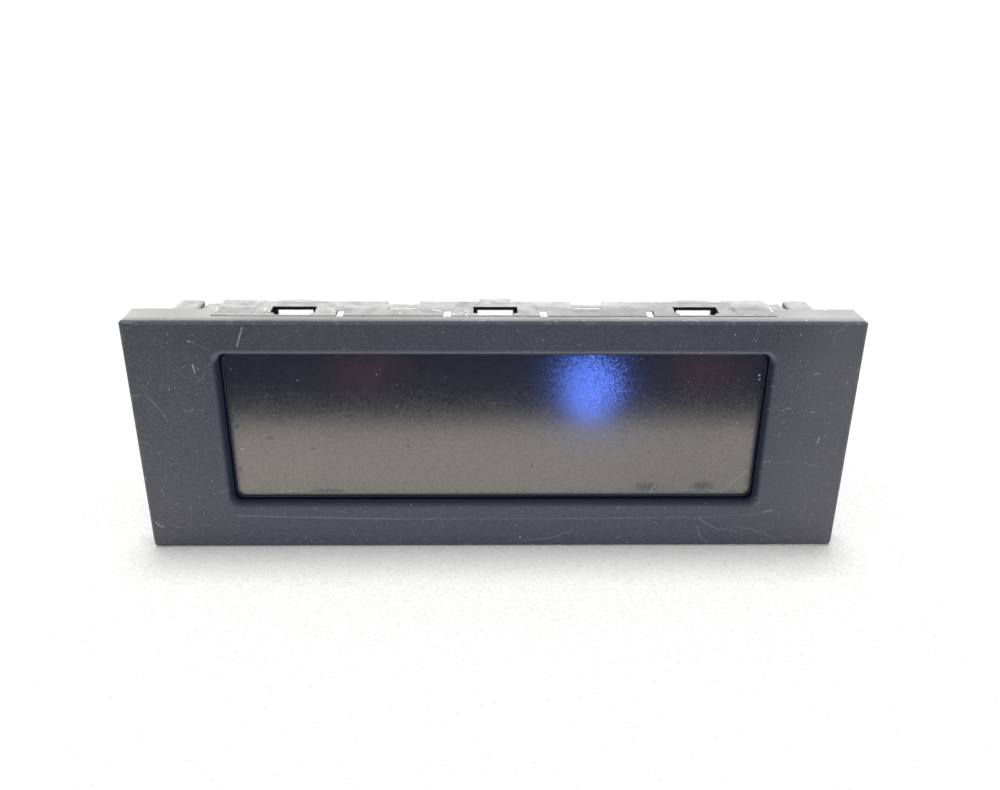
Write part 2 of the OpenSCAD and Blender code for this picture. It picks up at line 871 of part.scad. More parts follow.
module housing_web() {
    half = bezel_w / 2 - nest - frame_wall / 2;
    depth_run(web_d, web_back_d) difference() {
        translate([-half, nest + frame_wall / 2]) square([2 * half, bezel_h - 2 * nest - frame_wall]);
        translate([-box_in_half, box_in_low]) square([2 * box_in_half, box_in_high - box_in_low]);
        // Openings that lighten the web between the box and the skirt
        both_sides()
            for (z = [window_mid_z - 13, window_mid_z + 3])
                translate([box_half + 4, z]) square([half - box_half - 8, 10]);
    }
}

module cover_posts() {
    both_sides()
        for (z = [ear_low_z, ear_high_z]) {
            rod(ear_x, z, web_d, joint_d, post_r);
            block(box_half - box_wall / 2, ear_x, web_d, joint_d - 4, z - rib_t / 2, z + rib_t / 2);
        }
}

module mid_housing() {
    color([0.42, 0.43, 0.43]) placed() difference() {
        union() {
            nested_ring();
            housing_web();
            housing_box();
            cover_posts();
            deck(box_low + box_wall / 2, false);
            translate([0, 0, rim_h]) mirror([0, 0, 1]) deck(rim_h - box_high + box_wall / 2, true);
            both_sides() {
                end_lug(0);
                translate([0, 0, bezel_h]) mirror([0, 0, 1]) end_lug(deck_rise);
            }
        }
        both_sides() {
            for (z = [ear_low_z, ear_high_z])
                rod(ear_x, z, joint_d - screw_grip - 1, joint_d + past, screw_r + thread_gap);
            for (z = [bezel_boss_low_z, bezel_boss_high_z])
                rod(bezel_boss_x, z, web_d - past, web_back_d + past, screw_r + hole_gap);
        }
    }
}

// Main board and what it carries

module main_board() {
    color([0.08, 0.32, 0.18]) placed() difference() {
        depth_run(board_d, board_back_d)
            round_outline(-board_half, board_half, board_low, board_high, 1.5, 1.5);
        both_sides()
            for (z = [peg_low_z, peg_high_z])
                rod(peg_x, z, board_d - past, board_back_d + past, screw_r + hole_gap);
        at_pins() rod(0, 0, board_d - past, board_back_d + past, pin_t * 0.8);
    }
}

// Leads along two opposite sides of a chip, standing on the board
module lead_rows(w, h, count, pitch) {
    lead = [0.3, 0.5, 1];
    for (i = [0:count - 1], side = [-1, 1])
        translate([(i - (count - 1) / 2) * pitch, 0, side * (h / 2 + 0.35)])
            translate([-lead[0] / 2, 0, -lead[2] / 2]) cube(lead);
}

// A chip package on the back of the board, with leads on two or on four sides
module chip(x, z, w, h, t, count, pitch, four_sided = false) {
    translate([x, board_back_d, z]) {
        translate([-w / 2, chip_standoff, -h / 2]) cube([w, t, h]);
        lead_rows(w, h, count, pitch);
        if (four_sided) rotate([0, 90, 0]) lead_rows(h, w, count, pitch);
    }
}

module microcontroller() {
    side = 14;
    color([0.12, 0.12, 0.13]) placed()
        chip(2, board_mid_z + 6, side, side, 1.4, 16, medium_pitch, true);
}

module display_driver() {
    side = 10;
    color([0.12, 0.12, 0.13]) placed()
        chip(-28, board_mid_z + 8, side, side, 1.2, 12, fine_pitch, true);
}

module memory_chip() {
    color([0.12, 0.12, 0.13]) placed()
        chip(24, board_mid_z + 9, small_chip_w, small_chip_h, small_chip_t, 4, wide_pitch);
}

module bus_transceiver() {
    color([0.12, 0.12, 0.13]) placed()
        chip(14, low_row_z, small_chip_w, small_chip_h, small_chip_t, 4, wide_pitch);
}

// Package with a cooling tab above and two leads below
module voltage_regulator() {
    w = 6.6;
    h = 6;
    t = 2.3;
    tab_w = 5.4;
    tab_h = 1.6;
    tab_t = 0.6;
    lead_w = 0.8;
    lead_h = 2;
    lead_x = 2.3;
    color([0.13, 0.13, 0.14]) placed() translate([-20, board_back_d, low_row_z]) {
        translate([-w / 2, 0, -h / 2]) cube([w, t, h]);
        translate([-tab_w / 2, 0, h / 2]) cube([tab_w, tab_t, tab_h]);
        for (side = [-1, 1])
            translate([side * lead_x - lead_w / 2, 0, -h / 2 - lead_h])
                cube([lead_w, tab_t, lead_h]);
    }
}

// Wound core on a square base
module power_inductor() {
    base = 10;
    base_t = 1;
    core_r = 4.6;
    core_back = 4.2;
    color([0.2, 0.2, 0.22]) placed() translate([-36, board_back_d, low_row_z + 1]) {
        translate([-base / 2, 0, -base / 2]) cube([base, base_t, base]);
        rod(0, 0, base_t, core_back, core_r);
    }
}

// Row of cans on square bases, beside the board's upper left peg
module electrolytic_capacitors() {
    base = 6.6;
    base_t = 0.9;
    can_r = 3.15;
    can_back = 6.6;
    spacing = 8;
    down = 8;
    first_x = 7.5 - peg_x;
    color([0.72, 0.73, 0.75]) placed() for (i = [0:2])
        translate([first_x + i * spacing, board_back_d, board_high - down]) {
            translate([-base / 2, 0, -base / 2]) cube([base, base_t, base]);
            rod(0, 0, base_t, can_back, can_r);
        }
}

module quartz_crystal() {
    can_half = 3.3;
    can_r = 2.3;
    can_t = 3.4;
    color([0.75, 0.75, 0.77]) placed() translate([2, board_back_d, board_mid_z - 8]) {
        translate([-can_half, 0, -can_r]) cube([2 * can_half, can_t, 2 * can_r]);
        for (side = [-1, 1]) rod(side * can_half, 0, 0, can_t, can_r);
    }
}

// Small resistors and capacitors in rows between the memory and the right edge
module chip_parts() {
    rows = 3;
    columns = 7;
    spacing = 4;
    first_x = board_half - 35.6;
    color([0.55, 0.45, 0.35]) placed() for (i = [0:columns - 1], j = [0:rows - 1])
        translate([first_x + i * spacing, board_back_d, board_mid_z + (j + 1) * spacing])
            cube([1.6, 0.7, 0.9]);
}

// Places the children at the connector's pins
module at_pins() {
    for (i = [0:contact_count - 1], side = [-1, 1])
        translate([connector_x + (i - (contact_count - 1) / 2) * contact_pitch, 0,
            shell_mid_z + side * row_pitch / 2]) children();
}

// Connector header that stands on the board and ends in the cover's opening
module connector_shell() {
    color([0.13, 0.13, 0.14]) placed() difference() {
        block(connector_x - shell_w / 2, connector_x + shell_w / 2, board_back_d, shell_back_d,
            shell_mid_z - shell_h / 2, shell_mid_z + shell_h / 2);
        block(connector_x - socket_w / 2, connector_x + socket_w / 2, socket_bottom_d,
            shell_back_d + past, shell_mid_z - socket_h / 2, shell_mid_z + socket_h / 2);
        // Keyway in the upper wall
        block(connector_x - key_w / 2, connector_x + key_w / 2, shell_back_d - key_d,
            shell_back_d + past, shell_mid_z, shell_mid_z + shell_h / 2 - key_wall);
        at_pins() block(-pin_t / 2, pin_t / 2, board_back_d - past, shell_back_d, -pin_t / 2, pin_t / 2);
    }
}

module connector_pins() {
    tip_d = socket_bottom_d + pin_reach;
    color([0.8, 0.75, 0.5]) placed() at_pins()
        block(-pin_t / 2, pin_t / 2, board_d - pin_tail, tip_d, -pin_t / 2, pin_t / 2);
}

// Rear cover

// Side outline (depth, z) of the cover, drawn in by a wall where it is the inside
module cover_side(wall) {
    back = unit_d - wall;
    drop = (back - joint_d) * tan(top_slope);
    skew = wall / cos(top_slope);
    polygon([[joint_d, box_low + wall], [back, box_low + wall], [back, box_high - skew - drop],
        [joint_d, box_high - skew]]);
}

// The cover's front outline (x, z), with its lower corners rounded
module cover_front(wall) {
    r = max(cover_r - wall, 0.5);
    round_outline(wall - box_half, box_half - wall, box_low + wall, box_high - wall, r, r);
}

module cover_shell(wall, reach) {
    intersection() {
        width_run(-box_half, box_half) cover_side(wall);
        depth_run(joint_d - reach, unit_d + past) cover_front(wall);
    }
}

// Screw ear beside the cover
module cover_ear(z) {
    difference() {
        union() {
            rod(ear_x, z, joint_d, joint_d + ear_t, ear_r);
            block(box_half - cover_wall, ear_x, joint_d, joint_d + ear_t, z - ear_r, z + ear_r);
        }
        rod(ear_x, z, joint_d - past, joint_d + ear_t + past, screw_r + hole_gap);
    }
    // Gussets between the ear and the cover's side
    foot_d = joint_d + ear_t / 2;
    foot_x = box_half - cover_wall / 2;
    for (side = [-1, 1])
        translate([0, 0, z + side * (ear_r - rib_t) - rib_t / 2]) linear_extrude(rib_t)
            polygon([
                [foot_x, foot_d],
                [box_half + gusset_reach, foot_d],
                [foot_x, joint_d + ear_t + gusset_d]
            ]);
}

// Guide rail under the cover, with a slanted lead-in at its rear end
module guide_rail() {
    front = joint_d + 1;
    back = unit_d - 1.5;
    lead_in = 6.5;
    width_run(rail_x - rail_t / 2, rail_x + rail_t / 2)
        polygon([
            [front, 0],
            [back - lead_in, 0],
            [back, box_low - 4],
            [back, box_low + cover_wall / 2],
            [front, box_low + cover_wall / 2]
        ]);
}

module vent_group(x) {
    pitch = 2 * vent_w;
    straight = vent_h - vent_w;
    for (i = [0:vent_count - 1])
        translate([x + (i - (vent_count - 1) / 2) * pitch, 0, vent_mid_z])
            depth_run(unit_d - cover_wall - past, unit_d + past) {
                translate([-vent_w / 2, -straight / 2]) square([vent_w, straight]);
                for (side = [-1, 1]) translate([0, side * straight / 2]) circle(vent_w / 2);
            }
}

// Pockets in the back, left of the connector
module back_pockets() {
    pitch = pocket_w + pocket_rib;
    for (i = [0:pocket_count - 1])
        translate([pocket_mid_x + (i - (pocket_count - 1) / 2) * pitch, 0, 0])
            depth_run(unit_d - pocket_depth, unit_d + past)
                round_outline(-pocket_w / 2, pocket_w / 2, pocket_low_z, pocket_low_z + pocket_h,
                    pocket_r, pocket_r);
}

// Rectangular outline inside the housing's box, drawn in by a gap
module box_outline(gap) {
    translate([gap - box_in_half, box_in_low + gap])
        square([2 * (box_in_half - gap), box_in_high - box_in_low - 2 * gap]);
}

module rear_cover() {
    mouth = fit_gap + 0.2;
    inside_d = unit_d - cover_wall;
    bead_z = vent_mid_z - vent_h / 2 - 3.5;
    color([0.2, 0.2, 0.21]) placed() difference() {
        union() {
            difference() {
                cover_shell(0, 0);
                cover_shell(cover_wall, 0);
            }
            // Locating lip inside the housing's box
            depth_run(joint_d - lip_reach, joint_d + 1) difference() {
                box_outline(fit_gap);
                box_outline(fit_gap + lip_t);
            }
            both_sides() {
                cover_ear(ear_low_z);
                cover_ear(ear_high_z);
                guide_rail();
            }
            // Raised collar round the connector's opening
            depth_run(inside_d, unit_d) connector_outline(mouth + collar_t);
            // Stiffening bead across the inside of the back
            block(8 - box_half, box_half - 8, inside_d - 1, inside_d, bead_z - bead_h / 2,
                bead_z + bead_h / 2);
        }
        depth_run(inside_d - past - 1, unit_d + past) connector_outline(mouth);
        for (side = [-1, 1]) vent_group(side * vent_group_x);
        back_pockets();
    }
}

module connector_outline(grow) {
    translate([connector_x - shell_w / 2 - grow, shell_mid_z - shell_h / 2 - grow])
        square([shell_w + 2 * grow, shell_h + 2 * grow]);
}

// Screws

// A pan-head screw whose head rests at a depth and whose shank runs forwards
module screw(x, z, seat_d, length) {
    top_d = seat_d + screw_head_h;
    recess_half = 1.5;
    recess_t = 0.7;
    rod(x, z, seat_d - length, seat_d, screw_r);
    difference() {
        rod(x, z, seat_d, top_d, head_r);
        for (turn = [0, 90]) translate([x, 0, z]) rotate([0, turn, 0])
            block(-recess_half, recess_half, top_d - 1, top_d + past, -recess_t / 2, recess_t / 2);
    }
}

module bezel_screws() {
    color([0.3, 0.3, 0.3]) placed() both_sides()
        for (z = [bezel_boss_low_z, bezel_boss_high_z])
            screw(bezel_boss_x, z, web_back_d, frame_wall + 2);
}

module cover_screws() {
    color([0.3, 0.3, 0.3]) placed() both_sides()
        for (z = [ear_low_z, ear_high_z])
            screw(ear_x, z, joint_d + ear_t, ear_t + screw_grip);
}

module board_screws() {
    color([0.75, 0.75, 0.75]) placed() both_sides()
        for (z = [peg_low_z, peg_high_z])
            screw(peg_x, z, board_back_d, board_t + screw_grip - 1);
}

front_bezel();
lens_gasket();
screen_lens();
clamp_frame();
front_polariser();
display_front_glass();
display_rear_glass();
rear_polariser();
diffuser_sheet();
light_guide();
reflector_sheet();
backlight_board();
backlight_leds();
module_carrier();
flex_cable();
flex_socket();
mid_housing();
main_board();
microcontroller();
display_driver();
memory_chip();
bus_transceiver();
voltage_regulator();
power_inductor();
electrolytic_capacitors();
quartz_crystal();
chip_parts();
connector_shell();
connector_pins();
rear_cover();
bezel_screws();
cover_screws();
board_screws();
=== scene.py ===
import math

import bpy
from bpy.props import FloatProperty, FloatVectorProperty, PointerProperty
from mathutils import Matrix, Vector


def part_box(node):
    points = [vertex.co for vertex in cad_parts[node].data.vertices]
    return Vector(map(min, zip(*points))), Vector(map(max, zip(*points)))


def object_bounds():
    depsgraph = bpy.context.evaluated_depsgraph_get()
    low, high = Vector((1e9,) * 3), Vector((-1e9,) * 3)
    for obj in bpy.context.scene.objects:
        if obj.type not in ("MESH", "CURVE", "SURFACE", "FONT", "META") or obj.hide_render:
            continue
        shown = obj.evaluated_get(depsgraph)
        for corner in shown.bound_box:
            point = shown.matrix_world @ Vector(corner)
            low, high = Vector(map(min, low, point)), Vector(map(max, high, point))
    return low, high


bl_info = {
    "name": "Dashboard Display Unit",
    "version": (1, 0, 0),
    "blender": (4, 5, 0),
    "location": "View3D > Sidebar > Display Unit",
    "description": "Finishes of a wide dashboard display unit and the studio it stands in",
    "category": "Object",
}

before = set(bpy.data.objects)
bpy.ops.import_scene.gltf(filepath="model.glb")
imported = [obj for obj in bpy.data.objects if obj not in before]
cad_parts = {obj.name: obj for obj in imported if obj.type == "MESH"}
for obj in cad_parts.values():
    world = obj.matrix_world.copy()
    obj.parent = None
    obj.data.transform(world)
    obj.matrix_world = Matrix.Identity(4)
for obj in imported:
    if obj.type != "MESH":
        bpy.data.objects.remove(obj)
CAD_LOW, CAD_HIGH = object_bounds()

MM = 0.001

# Places on the unit, in millimetres, as its frame gives them
FACE_HALF = CAD_HIGH.x / MM
FACE_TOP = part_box("front_bezel")[1].z / MM
HALF_DEPTH = CAD_HIGH.y / MM
LENS_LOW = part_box("screen_lens")[0] / MM
LENS_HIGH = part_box("screen_lens")[1] / MM

# The gasket covers the lens's margin and shows a strip of itself in the bezel's window
LENS_MARGIN = 2.6
GASKET_SHOW_SIDE = 1.2
GASKET_SHOW_LOW = 1.4
GASKET_SHOW_HIGH = 0.5
VIEW_HALF = LENS_HIGH.x - LENS_MARGIN
VIEW_LOW = LENS_LOW.z + LENS_MARGIN
VIEW_HIGH = LENS_HIGH.z - LENS_MARGIN
VIEW_R = 2.2
WINDOW_HALF = VIEW_HALF + GASKET_SHOW_SIDE
WINDOW_LOW = VIEW_LOW - GASKET_SHOW_LOW
WINDOW_HIGH = VIEW_HIGH + GASKET_SHOW_HIGH
WINDOW_R = 2.1

# Heights between which the face's skin turns finer, and the lens's matting coarser
STRIP_FROM, STRIP_TO = 58.0, 60.0
COARSE_FROM, COARSE_TO = 38.0, 50.0

# How far from the middle the face's colour goes from its left tone to its right one
TONE_REACH = 80.0

# Camera: its place in metres, and how far it turns, tips down and rolls in degrees
CAMERA_PLACE = (-0.003116, -0.250237, 0.152205)
CAMERA_TURN = -1.073
CAMERA_TIP = 24.437
CAMERA_ROLL = 0.452
CAMERA_FOCAL = 34.78
CAMERA_SENSOR = 36.0

# What stands round the unit, in metres
TABLE_SIZE = 8.0
WINDOW_LAMP_SIZE = (1.8, 0.5)
WINDOW_LAMP_PLACE = (0.0, 0.8, 0.31)
WINDOW_LAMP_AIM = (0.0, 0.0, 0.05)
WINDOW_LAMP_COLOUR = (1.0, 1.0, 0.985)
CARD_SIZE = (1.0, 0.42)
CARD_PLACE = (0.0, -0.0947, 0.21)
CARD_COLOUR = (0.42, 0.52, 1.0)
CARD_STRENGTH = 0.125
BLUE_LAMP_COLOUR = (0.095, 0.21, 1.0)
BLUE_LAMP_PLACE = (0.0338, -0.09, 0.0162)
BLUE_LAMP_AIM = (0.025, -0.0166, 0.0487)
RED_LAMP_SIZE = (0.026, 0.015)
RED_LAMP_COLOUR = (1.0, 0.38, 0.36)
RED_LAMP_RADIANCE = 0.125

# How far across each red lamp stands, how deep and how high it stands and aims,
# and the share of its distance across at which it aims
RED_LAMPS = {"left": -0.0435, "right": 0.073}
RED_LAMP_PLACE = (-0.091, 0.023)
RED_LAMP_AIM = (-0.0166, 0.0554)
RED_LAMP_TOE_IN = 0.7

# Marks on the face: the points that each one runs through (across, up, in
# millimetres), its width and how strongly it shows
FACE_MARKS = [
    ([(-64.5, 65.8), (-66.2, 60.8)], 0.34, 0.75),
    ([(-78.5, 62.2), (-78.1, 62.0)], 0.36, 1.0),
    ([(-77.4, 61.8), (-73.2, 59.5)], 0.16, 0.3),
    ([(-78.2, 55.7), (-77.8, 53.6)], 0.34, 1.0),
    ([(-77.9, 50.5), (-76.6, 51.4), (-74.9, 53.5)], 0.18, 0.35),
    ([(-91.5, 47.2), (-89.3, 44.6), (-86.6, 39.8)], 0.18, 0.5),
    ([(-81.8, 42.5), (-79.4, 42.8)], 0.2, 0.5),
    ([(-85.2, 49.3), (-85.0, 48.4)], 0.24, 0.55),
    ([(-95.2, 46.8), (-93.1, 47.1)], 0.2, 0.4),
    ([(-94.1, 8.3), (-93.2, 7.0), (-92.1, 6.7)], 0.42, 0.8),
    ([(-89.3, 7.3), (-88.4, 6.6), (-87.1, 6.7)], 0.22, 0.5),
    ([(-81.4, 8.0), (-79.6, 7.0)], 0.18, 0.45),
    ([(-91.3, 18.6), (-90.8, 16.7)], 0.2, 0.45),
    ([(-87.9, 13.9), (-87.3, 14.5)], 0.22, 0.6),
    ([(-83.8, 14.7), (-84.2, 9.9)], 0.14, 0.3),
    ([(-75.2, 31.2), (-73.6, 30.9)], 0.18, 0.35),
    ([(-71.4, 10.3), (-45.8, 9.5), (-26.4, 9.2)], 0.2, 0.55),
    ([(-26.4, 9.2), (29.5, 9.2), (57.5, 9.4)], 0.16, 0.42),
    ([(57.5, 9.4), (75.0, 10.6)], 0.14, 0.32),
    ([(-53.0, 3.8), (-53.0, 2.6)], 0.26, 0.5),
    ([(-39.9, 6.2), (-39.2, 3.6)], 0.16, 0.4),
    ([(-42.9, 11.8), (-41.0, 11.1)], 0.16, 0.4),
    ([(-22.8, 8.2), (-20.1, 3.2)], 0.12, 0.25),
    ([(8.3, 2.1), (14.2, 2.5), (18.4, 3.8), (22.0, 5.4)], 0.36, 0.3),
    ([(34.3, 2.7), (36.0, 3.4)], 0.24, 0.6),
    ([(34.0, 12.4), (34.8, 12.9)], 0.24, 0.6),
    ([(44.4, 8.3), (45.9, 7.3)], 0.18, 0.5),
    ([(57.2, 9.3), (60.0, 7.0), (63.0, 5.5), (65.5, 5.6)], 0.18, 0.6),
    ([(56.9, 6.7), (58.1, 3.3), (60.3, 1.1)], 0.18, 0.65),
    ([(67.4, 6.4), (72.0, 5.6), (76.1, 4.3), (79.8, 1.9)], 0.16, 0.5),
    ([(66.3, 6.0), (68.2, 4.3)], 0.14, 0.4),
    ([(66.5, 63.0), (67.3, 62.1)], 0.2, 0.45),
    ([(87.2, 61.0), (87.4, 64.6), (89.3, 65.7)], 0.2, 0.35),
    ([(83.4, 53.0), (84.1, 53.3), (84.7, 53.2)], 0.22, 0.7),
    ([(74.3, 43.7), (75.4, 43.6)], 0.2, 0.5),
    ([(77.3, 43.3), (78.7, 43.1)], 0.22, 0.55),
    ([(84.1, 42.0), (85.0, 42.1)], 0.26, 0.7),
    ([(87.5, 34.4), (87.2, 32.9)], 0.3, 1.0),
    ([(73.4, 27.0), (75.3, 27.4)], 0.26, 0.65),
    ([(76.7, 26.7), (81.6, 27.3)], 0.14, 0.3),
    ([(84.4, 26.7), (89.0, 25.6)], 0.16, 0.35),
    ([(75.3, 11.2), (77.8, 11.8)], 0.28, 0.75),
    ([(73.1, 13.5), (73.7, 14.9)], 0.16, 0.4),
    ([(83.7, 13.2), (83.4, 11.5)], 0.16, 0.35),
    ([(88.3, 8.9), (88.3, 6.6)], 0.14, 0.3),
    ([(-94.8, 67.2), (-93.9, 67.1)], 0.26, 0.5),
    ([(-93.4, 67.0), (-91.6, 67.1)], 0.26, 0.4),
    ([(-91.3, 66.5), (-90.8, 66.7)], 0.24, 0.45),
    ([(89.3, 66.4), (90.0, 66.6)], 0.24, 0.4),
    ([(92.6, 67.2), (93.4, 67.0)], 0.24, 0.4),
]

# Marks on the tops, with two painted highlights along the deck's ends, given by how far across and how far
# back they are
TOP_MARKS_AND_HIGHLIGHTS = [
    ([(-83.5, 2.2), (-82.5, 2.5)], 0.26, 0.8),
    ([(-82.7, 3.3), (-82.2, 3.5)], 0.2, 0.6),
    # Painted highlights along the two ends of the deck
    ([(-72.9, 8.0), (-72.9, 17.2)], 0.5, 1.0),
    ([(72.9, 8.0), (72.9, 17.0)], 0.5, 1.0),
    ([(-61.2, 10.5), (-60.0, 9.7)], 0.30, 0.9),
    ([(-59.2, 7.9), (-58.5, 7.2)], 0.29, 0.9),
    ([(-44.3, 10.6), (-43.2, 9.9), (-42.0, 7.8)], 0.22, 0.6),
    ([(-16.6, 9.1), (-14.5, 8.0)], 0.24, 1.0),
    ([(-11.0, 6.4), (-10.7, 4.4)], 0.29, 0.6),
    ([(-7.9, 8.3), (-6.8, 7.6)], 0.32, 0.9),
    ([(-7.8, 6.5), (-7.3, 4.2)], 0.30, 0.8),
    ([(-3.9, 14.2), (-1.3, 14.2)], 0.36, 0.9),
    ([(48.0, 1.7), (49.9, 2.1), (51.9, 1.7)], 0.26, 0.8),
    ([(65.0, 5.5), (67.2, 5.7)], 0.58, 0.35),
]
TOP_SPECKS = [
    (-8.0, 8.8, 0.26), (-6.9, 9.5, 0.22), (-6.3, 8.2, 0.28), (-5.6, 9.1, 0.2), (-7.2, 7.0, 0.22),
    (-5.3, 7.3, 0.22), (-60.3, 8.7, 0.36), (-24.8, 6.5, 0.4), (-25.3, 4.5, 0.3), (-19.8, 7.3, 0.34),
    (-8.8, 7.0, 0.34), (-3.3, 1.5, 0.36), (-0.8, 1.7, 0.3), (22.5, 1.7, 0.36), (80.0, 1.9, 0.4),
    (87.2, 9.6, 0.4), (-2.5, 14.8, 0.3), (33.0, 2.4, 0.2),
]

# Single bright specks on the face: across, up, radius
FACE_SPECKS = [
    (61.5, 64.1, 0.26), (78.4, 64.1, 0.28), (92.8, 55.0, 0.22), (58.7, 13.7, 0.26), (54.8, 11.2, 0.18),
    (-49.6, 12.4, 0.26), (-81.0, 16.3, 0.22), (7.2, 3.1, 0.4), (-23.2, 13.5, 0.22), (34.6, 6.7, 0.22),
    (75.6, 2.0, 0.24), (87.4, 30.0, 0.16), (77.0, 39.0, 0.2),
]

# Marks on the lens, given as those on the face are
LENS_STREAKS = [
    ([(63.9, 16.6), (67.2, 20.2), (69.6, 22.8), (70.3, 22.4)], 0.26, 0.8),
    ([(62.4, 16.0), (66.9, 20.9), (69.4, 23.4)], 0.2, 0.5),
    ([(67.6, 16.6), (68.6, 18.8)], 0.3, 0.6),
    ([(43.4, 16.3), (44.6, 18.5)], 0.4, 0.9),
    ([(58.6, 17.4), (61.0, 16.6)], 0.3, 0.7),
    ([(-60.5, 16.4), (-52.0, 17.0)], 0.5, 0.4),
]
LENS_SPECKS = [
    (65.3, 37.6, 0.22), (59.7, 29.3, 0.2), (65.1, 30.2, 0.2), (52.4, 28.7, 0.24), (-31.2, 52.0, 0.24),
    (-52.1, 50.3, 0.2), (69.8, 51.8, 0.4), (70.0, 50.6, 0.36), (-44.0, 36.2, 0.3), (-68.6, 30.0, 0.4),
    (-66.9, 18.4, 0.3), (-67.4, 17.8, 0.22), (42.5, 34.2, 0.2), (-43.8, 36.8, 0.2),
]

# Smudges on the lens: across, up, half their width and half their height
LENS_SMUDGES = [
    (58.0, 18.1, 4.4, 2.2), (42.2, 17.9, 4.6, 2.0), (-46.0, 16.8, 7.0, 1.1), (-60.8, 33.2, 1.4, 0.7),
    (-49.3, 30.1, 0.9, 0.6), (-23.6, 30.8, 0.8, 0.6), (-43.9, 36.7, 0.7, 0.5), (10.1, 24.6, 0.6, 0.6),
    (-69.4, 36.9, 1.0, 1.2), (-70.0, 23.4, 1.0, 1.4),
]


def scaled(colour, share):
    """A colour made lighter or darker, held below white."""
    return tuple(min(1.0, share * c) for c in colour)


class Signal:
    """What one node of a finish gives; plain maths on it adds the nodes that work it out."""

    def __init__(self, finish, socket):
        self.finish = finish
        self.socket = socket

    def _maths(self, operation, first, second):
        return self.finish.node("ShaderNodeMath", {"operation": operation}, {0: first, 1: second})

    def __add__(self, other):
        return self._maths("ADD", self, other)

    def __radd__(self, other):
        return self._maths("ADD", other, self)

    def __sub__(self, other):
        return self._maths("SUBTRACT", self, other)

    def __rsub__(self, other):
        return self._maths("SUBTRACT", other, self)

    def __mul__(self, other):
        return self._maths("MULTIPLY", self, other)

    def __rmul__(self, other):
        return self._maths("MULTIPLY", other, self)

    def __abs__(self):
        return self.finish.node("ShaderNodeMath", {"operation": "ABSOLUTE"}, {0: self})

    def at_least(self, other):
        return self._maths("MAXIMUM", self, other)

    def at_most(self, other):
        return self._maths("MINIMUM", self, other)


